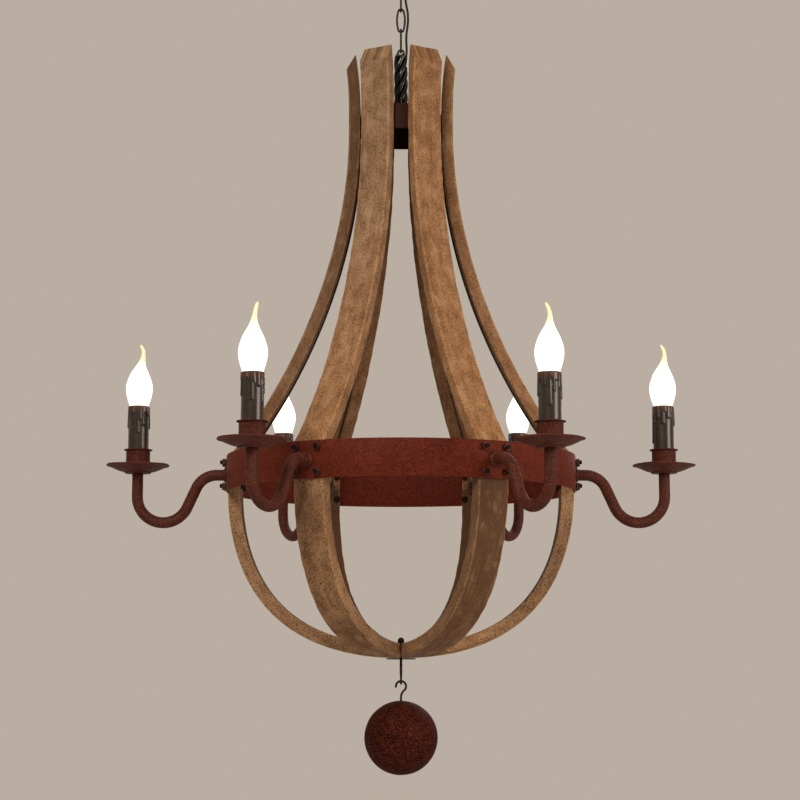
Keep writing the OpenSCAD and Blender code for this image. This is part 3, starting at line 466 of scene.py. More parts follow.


# How orange and how dark each stave is, from 0 to 1, at the hoop and at its tip. The darkness is
# painted shade; the orange is the stave's own tone.
LOWER_TINTS_AND_SHADES = (((0.45, 0), (0.4, 0.1)), ((0.6, 1), (0.6, 0.3)), ((0.2, 0.1), (0.3, 0.05)),
               ((0.5, 0.4), (0.5, 0.3)), ((0.3, 0.4), (0.3, 0.3)), ((0.1, 0), (0.2, 0.25)))
for i, tints_and_shades in zip(STATIONS, LOWER_TINTS_AND_SHADES):
    part, marks = board(slices, mitred, 10 + i, *tints_and_shades)
    add_piece(f"bowl_stave_{i}", [moved(part, station(i))], lower_oak, "frame",
              [f"lower_stave_{i}"], attributes=marks)

# ---- Upper staves ----
# Six bent oak boards, 45 by 16 mm, that flare from the throat out to the hoop. The foot is cut
# flat against the hoop and planed flat inside for its bolt heads; the top is bevelled outwards.

UPPER_THICK = 16
UPPER_HEIGHT = 584.5
TOP_BEVEL = 22
TOP_LEAN = 6.5
HUB_DROP = 79.5
THROAT = 72
THROAT_HEIGHT = 473
THROAT_PULL, FLARE_PULL = 164, 172
FLARE = radians(49.8)
FLARE_END = HOOP_INNER + 17.3
UPPER_CURVE = [(THROAT, THROAT_HEIGHT), (THROAT, THROAT_HEIGHT - THROAT_PULL),
               (FLARE_END - FLARE_PULL * cos(FLARE), FLARE_PULL * sin(FLARE)), (FLARE_END, 0)]
FOOT_FLAT = 23.3

# The uprights' sides take a little painted light, and their inner faces a little painted shade.
upper_oak = weathered_oak("weathered_oak_upright", "#b9997a", "#9b7b5d", "#b57b48", "#754f30",
                          sides_fresh_and_lit=0.2, pits=0.9, thick=UPPER_THICK, inside=0.3)


def above_drum(radius, z):
    """A point on a stave's face above the drum, where the stave leans outwards."""
    return radius + TOP_LEAN * (max(0, z - UPPER_HEIGHT + HUB_DROP) / HUB_DROP) ** 2, z


slices = []
for down in (0, 1.4, 10, 20, 30, 40, 50, HUB_DROP):
    bevel = TOP_BEVEL * (1 - down / HUB_DROP)
    slices.append(cut(above_drum(THROAT, UPPER_HEIGHT - down - bevel),
                      above_drum(THROAT - UPPER_THICK, UPPER_HEIGHT - down)))
slices += between(slices[-1], cut((THROAT, THROAT_HEIGHT), (THROAT - UPPER_THICK, THROAT_HEIGHT)), 3)
slices += [pair for pair in bent(UPPER_CURVE, UPPER_THICK, 100) if pair[1].y > FOOT_FLAT]
slope = tan(FLARE)
last = slices[-1][0]
edge_z = last.y - (STAVE_FACE - last.x) * slope
slices.append(cut((last.x + 0.4, last.y - 0.4 * slope), (SEAT, FOOT_FLAT)))
for z, inner_z, steps in ((edge_z, edge_z - 4, 3), (1.2, 1.2, 5), (0, 0, 1)):
    slices += between(slices[-1], cut((STAVE_FACE, z), (SEAT, inner_z)), steps)

# How orange and how dark each stave is, from 0 to 1, at its top and at its foot. The darkness is
# painted shade, and the orange that grows towards the foot is partly painted warm light from the
# bulbs.
UPPER_TINTS_AND_SHADES = (((0, 0.22), (1, 0)), ((0.8, 0.26), (0.95, 0.1)), ((0.8, 0.5), (0.9, 0.2)),
               ((0.6, 0.5), (0.8, 0.2)), ((0.9, 0.45), (0.9, 0.1)), ((0.4, 1), (0.6, 0.35)))
for i, tints_and_shades in zip(STATIONS, UPPER_TINTS_AND_SHADES):
    part, marks = board(slices, lambda radius: STAVE_WIDTH / 2, i, *tints_and_shades)
    add_piece(f"upright_stave_{i}", [moved(part, station(i))], upper_oak, "frame",
              [f"upper_stave_{i}"], attributes=marks)

# ---- Hoop bolts and nuts ----
# Four M6 bolts a station, with their heads inside and hexagon nuts outside on 8 mm of thread.
# The nuts' dark paint is smoother than the hoop's, so they glint on it; the bolts are painted near
# black, as painted shade for their heads inside the staves.

BOLT_OFFSET = 16            # from the station's middle, sideways and up or down
BOLT_RADIUS = 3
BOLT_HEAD = 3.5
BOLT_END = 8
NUT_FLATS = 8.4
NUT_HEIGHT = 5
NUT_SEAT = 235.8


def circle(radius, z, sides, x=0, y=0):
    """Points round a level circle, turning about (x, y)."""
    return [(x + radius * cos(a), y + radius * sin(a), z)
            for a in (tau * s / sides for s in range(sides))]


def nut(flats, height, bore, sides=48):
    """A hexagon nut on z = 0 with chamfered corners, bored, or a head if bore is 0."""
    angles = [tau * s / sides for s in range(sides)]
    corners = [flats / 2 / cos((a + pi / 6) % (pi / 3) - pi / 6) for a in angles]
    pull = flats / 2 * 0.97
    chamfers = [max(0, corner - pull) * 0.55 + 0.15 for corner in corners]
    hole, face = [bore] * sides, [pull * 0.97] * sides
    low, high = [0] * sides, [height] * sides
    rings = ((hole, low), (face, low), (corners, chamfers), (corners, [height - c for c in chamfers]),
             (face, high), (hole, high))
    return skin([[(r * cos(a), r * sin(a), z) for r, z, a in zip(radii, levels, angles)]
                 for radii, levels in rings], bore > 0)


def threaded(radius, low, high, pitch=1.0, depth=0.45, sides=24):
    """A threaded rod along Z, drawn as a groove each turn, with a chamfered end."""
    outline = [(radius, low)]
    turns = int((high - low - pitch) / pitch)
    for k in range(turns):
        z = high - pitch * 0.8 - (turns - k) * pitch
        outline += [(radius, z + 0.2 * pitch), (radius - depth, z + 0.6 * pitch), (radius, z + pitch)]
    outline += [(radius - depth * 1.6, high)]
    return skin([circle(r, z, sides) for r, z in outline])


OUTWARD = Matrix.Rotation(pi / 2, 4, "Y")
nut_paint = rust_painted("rust_paint_nuts", "#3a170e", "#6a4335", "#1c0a05", grit=1.0, rough=0.42,
                         gloss=0.35)
# Near black as painted shade: the heads sit in the shade inside the staves.
bolt_paint_and_shade = rust_painted("rust_paint_and_shade_bolts", "#1f0c07", "#3c2018", "#0f0503", grit=1.0, gloss=0.08)

bolts, nuts = [], []
for i in STATIONS:
    for side in (-1, 1):
        for level in (-1, 1):
            turn = spun(17 * i + 31 * side + 12 * level)
            place = station(i) @ shifted(0, side * BOLT_OFFSET, level * BOLT_OFFSET) @ OUTWARD
            bolts.append(moved(nut(NUT_FLATS, BOLT_HEAD, 0), place, shifted(z=SEAT - BOLT_HEAD), turn))
            bolts.append(moved(threaded(BOLT_RADIUS, SEAT - 0.1, HOOP_OUTER + BOLT_END), place))
            nuts.append(moved(nut(NUT_FLATS, NUT_HEIGHT, BOLT_RADIUS + 0.1), place,
                              shifted(z=NUT_SEAT), turn))
add_piece("bolts", bolts, bolt_paint_and_shade, "frame", ["hoop_bolts"], sharp=25)
add_piece("bolt_nuts", nuts, nut_paint, "frame", ["hoop_nuts"], sharp=25)

# ---- Drum ----
# A pressed steel cap, open below, that the stave tops are screwed to from inside, two wood
# screws a stave. The stem hangs through its top plate on a nut. Its paint is duller, and darker
# as painted shade for its shadowed inside.

DRUM_RADIUS = 55.7
DRUM_WALL = 3
DRUM_BORE = DRUM_RADIUS - DRUM_WALL
STEM_HOLE = 3.2
low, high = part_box("hub_drum")
DRUM_LOW, DRUM_HIGH = low[2] / MM, high[2] / MM

outline = [(DRUM_BORE, DRUM_LOW + 0.4), (DRUM_BORE + 0.4, DRUM_LOW), (DRUM_RADIUS - 0.4, DRUM_LOW),
           (DRUM_RADIUS, DRUM_LOW + 0.4), (DRUM_RADIUS, DRUM_HIGH - 2),
           (DRUM_RADIUS - 0.6, DRUM_HIGH - 0.6), (DRUM_RADIUS - 2, DRUM_HIGH), (STEM_HOLE, DRUM_HIGH),
           (STEM_HOLE, DRUM_HIGH - DRUM_WALL), (DRUM_BORE - 1, DRUM_HIGH - DRUM_WALL),
           (DRUM_BORE, DRUM_HIGH - DRUM_WALL - 1)]
drum_paint_and_shade = rust_painted("rust_paint_drum_and_shade", "#2c0f08", "#481b10", "#1b0704", grit=1.3, gloss=0.12)
add_piece("drum", [turned(outline, 144)], drum_paint_and_shade, "frame", ["hub_drum"])


def dressed(node, material, bevel=0.3):
    """A CAD solid that stays as it is, with softened edges and a better finish."""
    piece = frame["nodes"][node]
    piece.data.materials.clear()
    piece.data.materials.append(material)
    soften = piece.modifiers.new("soft_edges", "BEVEL")
    soften.width = bevel * MM
    soften.segments = 2
    soften.limit_method = "ANGLE"
    soften.angle_limit = radians(40)


def plain(name, colour, variation, rough, gloss=0.5, grain=0.8, relief=0.02, metallic=0):
    """A smooth factory finish: an even colour, a little clouded, and a shine that specks break up.
    Grain is their size in mm. Real ones are under 0.1 mm, too fine to show, so they are coarser."""
    made, tree, shader, place = new_material(name)
    specks, clouds = [add_node(tree, "TexNoise", {"Vector": place, "Scale": 1000 / size,
                                                  "Detail": detail}).outputs[0]
                      for size, detail in ((grain, 2), (14, 3))]
    uneven = add_node(tree, "MapRange", {"Value": specks, "To Min": rough - 0.06,
                                         "To Max": rough + 0.06})
    bump = add_node(tree, "Bump", {"Height": specks, "Strength": 0.5, "Distance": relief * MM})
    set_inputs(shader, {"Base Color": coated(tree, colour, [(clouds, 0.4, 0.7, 0.35, variation)]),
                        "Metallic": metallic, "Roughness": uneven.outputs[0],
                        "Specular IOR Level": gloss, "Normal": bump.outputs[0]})
    return made


# Zinc plating: a pale, slightly blue grey that shines dully.
zinc = plain("zinc_plated_steel", "#a9adb0", "#8f9294", 0.34, metallic=1)
dressed("hub_screws", zinc)
dressed("stem_nut", nut_paint)

# ---- Stem ----
# A 6 mm rod whose eye hangs in the last link. It carries the whole frame, and the leads that
# are wound round it hide all but the eye.

low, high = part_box("stem_eye")
EYE_WIRE = 3
EYE_RADIUS = 4.1
EYE_TOP = high[2] / MM - EYE_WIRE / 2
EYE_Z = EYE_TOP - EYE_RADIUS
STEM_LOW = low[2] / MM


def arc(centre, radius, start, end, count):
    """Points along an arc in the XZ plane, with its ends."""
    turns = [radians(start + (end - start) * k / count) for k in range(count + 1)]
    return [Vector((centre[0] + radius * cos(a), 0, centre[1] + radius * sin(a))) for a in turns]


def tube(path, radius, sides=20, closed=False):
    """A round tube along a path; radius is one size, or one for each point."""
    path = [Vector(p) for p in path]
    radii = radius if hasattr(radius, "__len__") else [radius] * len(path)
    last = len(path) - 1
    rings, side = [], None
    for k, point in enumerate(path):
        ahead = path[(k + 1) % len(path)] if closed or k < last else point
        behind = path[k - 1] if closed or k else point
        along = (ahead - behind).normalized()
        side = along.orthogonal() if side is None else side - along * side.dot(along)
        side.normalize()
        up = along.cross(side)
        rings.append([point + radii[k] * (x * side + y * up) for x, y, _ in circle(1, 0, sides)])
    return skin(rings, closed)


# Cold-drawn wire, bent, welded and painted dark brown: nearly black, with long narrow glints.
chain_paint = plain("brown_painted_wire", "#1a0c08", "#371c13", 0.4, 0.25, grain=1.2, relief=0.06)
eye = tube(arc((0, EYE_Z), EYE_RADIUS, 0, 352.5, 47), EYE_WIRE / 2, closed=True)
neck = EYE_Z - EYE_RADIUS
rod = tube([(0, 0, z) for z in (STEM_LOW, neck - 4, neck - 1, neck + 0.8)], [3, 3, 2.2, 1.2])
add_piece("stem", [eye, rod], chain_paint, "frame", ["stem_eye"])

# ---- Lamp leads ----
# The lamps' leads are sleeved in thick, glossy black plastic and wound round the stem, five
# round it, from the drum up to its eye. Their gloss draws bright slanting streaks.

LEADS = 5
LEAD_RADIUS = 3.2
LEAD_CIRCLE = 6.5           # from the stem's axis
LEAD_TURN = 300             # degrees round the stem, from end to end
LEAD_STEPS, END_STEPS = 64, 6
low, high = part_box("wire_bundle")
LEAD_LOW, LEAD_HIGH = low[2] / MM, high[2] / MM - 1.28    # less what a slanting end adds

# Extruded PVC: black, smooth and shiny, with slow ripples that bend its streaks.
lead_plastic = plain("glossy_black_pvc", "#030303", "#080707", 0.1, 0.55, grain=4.0, relief=0.05)

parts = []
for k in range(1, LEADS + 1):
    joined = k == LEADS     # this one narrows to the supply cable; the others end in round caps
    path, radii = [], []
    for n in range(LEAD_STEPS + END_STEPS + 1):
        t = n / LEAD_STEPS
        turn = radians(360 * k / LEADS - LEAD_TURN * (1 - t))
        over = max(0, t - 1) * LEAD_STEPS / END_STEPS
        rise = (1.2 if joined else 3.4) * sin(over * pi / 2)
        z = LEAD_LOW + 0.4 + (LEAD_HIGH - LEAD_LOW) * min(t, 1) + rise
        pull = LEAD_CIRCLE + (0.5 if joined else 0.7) * over
        path.append((pull * cos(turn), pull * sin(turn), z))
        shrink = 1 - 0.5 * over if joined else sqrt(max(0.02, 1 - over * over))
        radii.append(LEAD_RADIUS * shrink * (1 + 0.03 * noise.noise(Vector((k, t * 9, 0)))))
    parts.append(tube(path, radii, 24))
add_piece("wound_leads", parts, lead_plastic, "frame", ["wire_bundle"], sharp=60)

# ---- Arms ----
# Steel tube, 15 mm across, bent in an S. One threaded end goes through hoop and stave to a nut
# inside, behind a welded collar; the other stands up through the drip pan and its cup.

ARM_RADIUS = 7.5
ARM_SLOPE = 65.5            # degrees below level, of the straight between the bends
ARM_STRAIGHT = 28.7
ARM_LEAD = 14
FIRST_BEND, SECOND_BEND = 30, 35.5
THREAD = 5
PITCH, GROOVE = 1.5, 0.6
SPIGOT_END = 206
COLLAR_START = HOOP_OUTER + 0.1
COLLAR = 3.5
PAN_SEAT = 2.5
CUP_SEAT = PAN_SEAT + 1.2
HOLDER_SEAT = CUP_SEAT + 1.5
TIP_TOP = HOLDER_SEAT + 10
turn, slope = radians(90 - ARM_SLOPE), radians(ARM_SLOPE)
across = Vector((cos(turn), sin(turn)))
straight = Vector((cos(slope), -sin(slope))) * ARM_STRAIGHT
first_centre = Vector((HOOP_OUTER + ARM_LEAD, -FIRST_BEND))
second_centre = first_centre + FIRST_BEND * across + straight + SECOND_BEND * across
ARM_REACH = second_centre.x + SECOND_BEND
collar_end = COLLAR_START + COLLAR
ARM_PATH = ([Vector((collar_end - 1, 0, 0)), Vector((collar_end + 4, 0, 0))]
            + arc(first_centre, FIRST_BEND, 90, 90 - ARM_SLOPE, 16)
            + arc(second_centre, SECOND_BEND, 270 - ARM_SLOPE, 360, 36)
            + [Vector((ARM_REACH, 0, z)) for z in (-10, PAN_SEAT - 1, PAN_SEAT)])

arm_paint = rust_painted("rust_paint_arms", "#4a1e13", "#753e2c", "#260d08", grit=1.4, relief=0.2)
AXIS = 0.01                 # how near the axis a turned outline starts and ends
collar = [(AXIS, 0), (9.2, 0), (10, 0.6), (10, COLLAR - 1), (9.3, COLLAR - 0.2), (8.2, COLLAR + 0.4),
          (7.4, COLLAR + 1.6), (AXIS, COLLAR + 1.6)]
for i in STATIONS:
    radii = [ARM_RADIUS * (1 + 0.012 * noise.noise(p / 9 + Vector((0, 0, 7 * i)))) for p in ARM_PATH]
    radii[-1] = ARM_RADIUS - 0.8
    base = tube(ARM_PATH, radii, 32)
    weld = moved(turned(collar, 48), shifted(COLLAR_START), OUTWARD)
    spigot = moved(threaded(THREAD, SPIGOT_END, COLLAR_START, PITCH, GROOVE, 32), OUTWARD)
    nipple = moved(threaded(THREAD, PAN_SEAT - 1, TIP_TOP, PITCH, GROOVE, 32), shifted(ARM_REACH))
    parts = [moved(p, station(i)) for p in (base, weld, spigot, nipple)]
    add_piece(f"scrolled_arm_{i}", parts, arm_paint, "frame", [f"arm_{i}"], sharp=45)

ARM_NUT = 8
end_nuts = [moved(nut(17, ARM_NUT, THREAD + 0.1), station(i), OUTWARD, shifted(z=SEAT - ARM_NUT),
                  spun(23 * i)) for i in STATIONS]
add_piece("arm_end_nuts", end_nuts, nut_paint, "frame", ["arm_nuts"], sharp=25)

# ---- Drip pans ----
# Spun steel dishes, 85 mm across, that stand on the arms' ends with the candle cups on top.
# Their rims are rolled over to a thin bead, and hand work left them a little wavy.

PAN_RADIUS = 42.5
PAN_DEPTH = 10.3
PAN_STEP = 2
PAN_WALL = 1.2
PAN_HOLE = 5.2
PAN_WAVE, PAN_WAVE_LENGTH = 1.0, 26
BEAD = 1.2
FOOT = 17.7
spread = PAN_RADIUS - FOOT
PAN_CURVE = [(FOOT + 0.6, PAN_SEAT + PAN_STEP), (FOOT + spread * 0.33, PAN_SEAT + PAN_STEP),
             (FOOT + spread * 0.66, PAN_SEAT + PAN_DEPTH * 0.8), (PAN_RADIUS, PAN_SEAT + PAN_DEPTH)]


def candle(i):
    """Takes a part from the Z axis, with heights from the hoop's middle, to its candle."""
    return station(i) @ shifted(ARM_REACH)


def wavered(part, seed):
    """A pan that waves up and down, but not at its foot."""
    points = []
    for x, y, z in part[0]:
        share = min(1, max(0, hypot(x, y) - FOOT) / 20)
        wave = PAN_WAVE * noise.noise(Vector((x, y, z)) / PAN_WAVE_LENGTH + Vector((0, 0, seed)))
        points.append(Vector((x, y, z + wave * share)))
    return points, part[1]


under = [bezier(PAN_CURVE, k / 20) for k in range(20)]
over = [beside(PAN_CURVE, 1 - k / 20, PAN_WALL) for k in range(1, 21)]
rolled = Vector((PAN_RADIUS - BEAD, PAN_SEAT + PAN_DEPTH + PAN_WALL / 2))
bead = [rolled + BEAD * Vector((cos(a), sin(a)))
        for a in (radians(30 * k - 75) for k in range(9))]
top = PAN_SEAT + PAN_WALL
outline = [(PAN_HOLE, PAN_SEAT), (FOOT - 0.4, PAN_SEAT), (FOOT, PAN_SEAT + 0.4)]
outline += [tuple(p) for p in under + bead + over]
outline += [(FOOT + 0.6 - PAN_WALL, top + PAN_STEP), (FOOT - PAN_WALL, top), (PAN_HOLE, top)]
pans = [moved(wavered(turned(outline), 9 * i), candle(i)) for i in STATIONS]
pan_paint = rust_painted("rust_paint_pans", "#4c2017", "#7b4132", "#280e09", grit=1.2)
add_piece("pans", pans, pan_paint, "frame", ["drip_pans"], sharp=50)

# ---- Candle cups ----
# Short steel cups with a turned-out lip, clamped on the pans by the lamp holders' thread. Each
# holds the foot of its sleeve.

CUP_RADIUS = 16.2
CUP_BORE = 15
CUP_TOP = CUP_SEAT + 31.4
CUP_LIP = 19.4
outline = [(PAN_HOLE, CUP_SEAT), (CUP_RADIUS - 0.8, CUP_SEAT), (CUP_RADIUS, CUP_SEAT + 0.8),
           (CUP_RADIUS, CUP_TOP - 2.4), (CUP_RADIUS + 0.5, CUP_TOP - 1.6),
           (CUP_LIP - 0.4, CUP_TOP - 1.45), (CUP_LIP, CUP_TOP - 0.9), (CUP_LIP - 0.3, CUP_TOP - 0.2),
           (CUP_LIP - 1, CUP_TOP), (CUP_BORE + 0.4, CUP_TOP), (CUP_BORE, CUP_TOP - 0.4),
           (CUP_BORE, HOLDER_SEAT), (PAN_HOLE, HOLDER_SEAT)]
cups = [moved(turned(outline, 72), candle(i)) for i in STATIONS]
add_piece("cups", cups, pan_paint, "frame", ["candle_cups"], sharp=40)

# ---- Lamp holders ----
# Moulded phenolic holders with a brass screw shell, one on each arm's threaded end, hidden in
# the candle sleeves. Phenolic is near black with a dull shine.

phenolic = plain("moulded_phenolic", "#1b1715", "#26201d", 0.45)
dressed("lamp_holders", phenolic)

# ---- Candle sleeves ----
# Thin tubes slipped over the holders, dipped in dark brown wax-like resin. Runs of it hang from
# the top and end in drops at half height.

SLEEVE_RADIUS = 13.9
SLEEVE_BORE = 13.0
SLEEVE_TOP = HOLDER_SEAT + 88.8
SLEEVE_SIDES = 144
SLEEVE_ROWS = 93
BULB_GLOW_BAND = 11               # below the top, where the bulb's light is painted on the resin as a reddish glow
FULL_WAX = 0.9              # how thick a run is when it shows in full


def wax_runs(seed):
    """Runs of wax as (angle, half width, length, depth): a collar of short ones, then long ones."""
    draw = random.Random(seed)
    short = [(tau * k / 11 + draw.uniform(-0.1, 0.1), draw.uniform(2.9, 3.8), draw.uniform(5, 18),
              draw.uniform(0.8, 1.3)) for k in range(11)]
    long = [(tau * k / 8 + draw.uniform(-0.25, 0.25), draw.uniform(1.8, 2.6), draw.uniform(20, 50),
             draw.uniform(1.3, 2.0)) for k in range(8)]
    return short + long


def wax_depth(angle, down, runs):
    """How thick the wax stands on the sleeve at a point."""
    depth = 0
    for at, half, length, thick in runs:
        aside = abs((angle - at + pi) % tau - pi) * SLEEVE_RADIUS
        share = min(1, down / length)
        wide = half * (0.8 + 0.35 * share * share)
        off = hypot(aside, max(0, down - length)) / wide
        if off < 1:
            depth = max(depth, thick * (0.6 + 0.4 * share) * (1 - off * off) ** 0.6)
    return depth


# Resin that set as it ran: dark brown, blacker where it is thick, and smooth like wet wax, which
# gives it tall soft glints. Its top is painted reddish, as the bulb's glow on it.
sleeve_resin, tree, shader, place = new_material("dark_wax_resin")
height = add_node(tree, "SeparateXYZ", {0: place}).outputs["Z"]
blotches, ripples = [
    add_node(tree, "TexNoise", {"Vector": place, "Scale": 1000 / size, "Detail": 2}).outputs[0]
    for size in (12, 4)]
wax_marks = add_node(tree, "Attribute", attribute_name="wax").outputs["Fac"]
colour = coated(tree, "#241710", [
    (blotches, 0.42, 0.66, 0.5, "#3a251b"), (wax_marks, 0, 0.35, 0.9, "#0d0705"),
    (wax_marks, 0.6, 1, 0.6, "#2a1a14"),
    (height, (HOOP_Z + SLEEVE_TOP - BULB_GLOW_BAND) * MM, (HOOP_Z + SLEEVE_TOP - 2) * MM, 0.85, "#512519")])
bump = add_node(tree, "Bump", {"Height": ripples, "Strength": 0.4, "Distance": 0.08 * MM})
set_inputs(shader, {"Base Color": colour, "Roughness": 0.25, "Specular IOR Level": 0.55,
                    "Normal": bump.outputs[0]})

parts, wax = [], []
angles = [tau * s / SLEEVE_SIDES for s in range(SLEEVE_SIDES)]
for i in STATIONS:
    runs = wax_runs(40 + i)
    rings = []
    for k in range(SLEEVE_ROWS + 1):
        z = HOLDER_SEAT + (SLEEVE_TOP - 0.8 - HOLDER_SEAT) * k / SLEEVE_ROWS
        depths = [wax_depth(a, SLEEVE_TOP - z, runs) for a in angles]
        rings.append([((SLEEVE_RADIUS + depth) * cos(a), (SLEEVE_RADIUS + depth) * sin(a), z)
                      for depth, a in zip(depths, angles)])
        wax += [min(1, depth / FULL_WAX) for depth in depths]
    rim = rings[-1]
    for share, z in ((0.55, SLEEVE_TOP - 0.2), (0.1, SLEEVE_TOP)):
        rings.append([Vector(inner).lerp(Vector((*outer[:2], z)), share)
                      for inner, outer in zip(circle(SLEEVE_BORE + 0.4, z, SLEEVE_SIDES), rim)])
    rings += [circle(SLEEVE_BORE, z, SLEEVE_SIDES) for z in (SLEEVE_TOP - 0.5, HOLDER_SEAT)]
    wax += [1] * (4 * SLEEVE_SIDES)
    parts.append(moved(skin(rings, True), candle(i)))
add_piece("sleeves", parts, sleeve_resin, "frame", ["candle_sleeves"], sharp=60,
          attributes={"wax": wax})

# ---- Bulbs ----
# Bent-tip candle bulbs of frosted glass, lit. The glass is blown, drawn out to a thin tip and
# bent while soft, then cemented in a nickel-plated screw base. Each stands at its own angle.

GLASS_TURNS = (-90, 45, 12, 80, -70, 0)
GLASS_RADIUS = 17.9
GLASS_HEIGHT = 86
HOLDER_TOP = SLEEVE_TOP - 14
BASE_RADIUS = 6.9
BASE_LENGTH = 17
MOUTH = 12.5
TIP_START = 0.48            # of the glass's height
TIP_LEAN, TIP_CURL = 4.5, 5


def up_glass(share):
    """The height at a share of the glass's height above its sleeve."""
    return SLEEVE_TOP + GLASS_HEIGHT * share


def up_tip(share):
    """The height at a share of the drawn tip's height above the belly."""
    return TIP_Z + TIP_HEIGHT * share


TIP_Z = up_glass(TIP_START)
TIP_HEIGHT = SLEEVE_TOP + GLASS_HEIGHT - TIP_Z
TIP_RADIUS = 2 * GLASS_RADIUS * 0.39
NECK = 2 * GLASS_RADIUS * 0.073
BELLY_LOW = [(MOUTH - 0.4, SLEEVE_TOP - 2), (MOUTH + 0.3, up_glass(0.04)),
             (GLASS_RADIUS, up_glass(0.15)), (GLASS_RADIUS, up_glass(0.28))]
BELLY_HIGH = [(GLASS_RADIUS, up_glass(0.28)), (GLASS_RADIUS, up_glass(0.36)),
              (TIP_RADIUS * 1.13, up_glass(0.42)), (TIP_RADIUS, TIP_Z)]
DRAWN_NECK = [(TIP_RADIUS - 0.1, TIP_Z), (TIP_RADIUS * 0.75, up_tip(0.22)), (NECK * 1.3, up_tip(0.34)),
              (NECK, up_tip(0.73))]
BLUNT_END = [(NECK, up_tip(0.73)), (NECK * 0.9, up_tip(0.9)), (NECK * 0.85, up_tip(1)),
             (NECK * 0.15, up_tip(1))]

# Acid-frosted glass over a lit filament: the belly whites out, and the drawn tip above it, away
# from the light, shows as pale yellow glass.
frosted, tree, shader, place = new_material("lit_frosted_glass")
height = add_node(tree, "SeparateXYZ", {0: place}).outputs["Z"]
towards_tip = add_node(tree, "MapRange", {
    "Value": height, "From Min": (HOOP_Z + TIP_Z + 4) * MM, "From Max": (HOOP_Z + TIP_Z + 32) * MM},
    interpolation_type="SMOOTHSTEP").outputs[0]
brightness = add_node(tree, "MapRange", {"Value": towards_tip, "To Min": 1.35, "To Max": 0.42})
frosting = add_node(tree, "TexNoise", {"Vector": place, "Scale": 1000 / 5}).outputs[0]
set_inputs(shader, {"Base Color": coated(tree, "#f4ead2", [(frosting, 0, 1, 1, "#e0cf9f")]),
                    "Emission Color": coated(tree, "#fffaf0", [(towards_tip, 0, 1, 1, "#f3e2a6")]),
                    "Emission Strength": brightness.outputs[0], "Roughness": 0.32, "IOR": 1.5})

# Nickel on pressed brass: a warm grey with a clean shine.
base_metal = plain("nickel_plated_brass", "#b9b09a", "#9c927c", 0.28, metallic=1)

profile = [(BASE_RADIUS - 0.5, HOLDER_TOP + 1), (BASE_RADIUS + 1.1, HOLDER_TOP + 5)]
profile += [tuple(bezier(BELLY_LOW, k / 14)) for k in range(15)]
profile += [tuple(bezier(BELLY_HIGH, k / 12)) for k in range(1, 12)]
spine = [(r, 0, 0, z) for r, z in profile]
drawn = [bezier(DRAWN_NECK, k / 24) for k in range(25)]
drawn += [bezier(BLUNT_END, k / 8) for k in range(1, 9)]
for r, z in drawn:
    u = (z - TIP_Z) / TIP_HEIGHT
    spine.append((r, TIP_LEAN * sin(pi * u * u), TIP_CURL * u * u, z))
glass = skin([circle(r, z, 40, x, y) for r, x, y, z in spine])

base_low = HOLDER_TOP + 1 - BASE_LENGTH
outline = [(AXIS, base_low - 3), (2.6, base_low - 3), (3.45, base_low - 2), (3.45, base_low - 0.4),
           (5.2, base_low), (6.0, base_low + 1.2)]
outline += [(6.45 + 0.42 * sin(tau * k / 6), base_low + 2 + k * 0.5) for k in range(24)]
outline += [(BASE_RADIUS, base_low + 14.6), (BASE_RADIUS, HOLDER_TOP + 1), (AXIS, HOLDER_TOP + 1)]
for i, glass_turn in zip(STATIONS, GLASS_TURNS):
    centre = candle(i).translation
    blown = moved(glass, shifted(centre.x, centre.y, HOOP_Z), spun(glass_turn))
    add_piece(f"lit_bulb_{i}", [blown], frosted, f"bulb_{i}", [f"bulb_glass_{i}"],
              sharp=70)
    add_piece(f"screw_base_{i}", [moved(turned(outline, 40), candle(i))], base_metal, f"bulb_{i}",
              [f"bulb_base_{i}"], sharp=50)

# ---- Stave flexes ----
# Thin brown flex leaves each arm's end, climbs the inside of its stave and goes up through the
# drum to the leads. From the front it shows as a fine dark line beside a stave.

FLEX_RADIUS = 1.2


def smooth(points, steps=6):
    """A smooth path through points that are given as (x, z)."""
    points = [Vector((x, 0, z)) for x, z in points]
    path = []
    last = len(points) - 1
    for k in range(last):
        a, b, c, d = (points[min(last, max(0, k + n))] for n in (-1, 0, 1, 2))
        for n in range(steps):
            t = n / steps
            path.append(0.5 * (2 * b + (c - a) * t + (2 * a - 5 * b + 4 * c - d) * t * t
                               + (3 * b - a - 3 * c + d) * t ** 3))
    return path + [points[-1]]


rest = SEAT - 11
clear = FLEX_RADIUS + 0.3
below_drum = DRUM_LOW - HOOP_Z
plate = DRUM_HIGH - HOOP_Z
inside = THROAT - UPPER_THICK - clear
hole = LEAD_CIRCLE + LEAD_RADIUS + FLEX_RADIUS + 3
climb = [beside(UPPER_CURVE, 0.88 * (1 - k / 20), -UPPER_THICK - clear) for k in range(21)]
flex = [(rest + 8, 0), (rest, 0), (rest - 5, 2.5), (rest - 7, 9), (rest - 6, 18)]
flex += [tuple(p) for p in climb if p.y < below_drum - 30]
flex += [(inside - back, below_drum + z)
         for back, z in ((0, -22), (1.5, -10), (6, 2), (12, 12), (22, 20))]
flex += [(hole + out, plate + z) for out, z in ((6, -11), (1.2, -8), (0, -5), (0, 2), (-1.2, 7),
                                                (-2.4, 13), (-2.6, 20))]
flex_tube = tube(smooth(flex, 4), FLEX_RADIUS, 10)
# Extruded PVC again, but brown and dull
flex_plastic = plain("brown_pvc_flex", "#2a1b13", "#38251a", 0.5, 0.25, grain=1.5, relief=0.03)
add_piece("flexes", [moved(flex_tube, station(i)) for i in STATIONS], flex_plastic, "frame",
          ["stave_flex"], sharp=70)

# ---- Chain ----
# Four oval links of 3 mm wire, bent and butt-welded on one side, each turned a quarter turn from
# the one above. The weld stands a little proud.

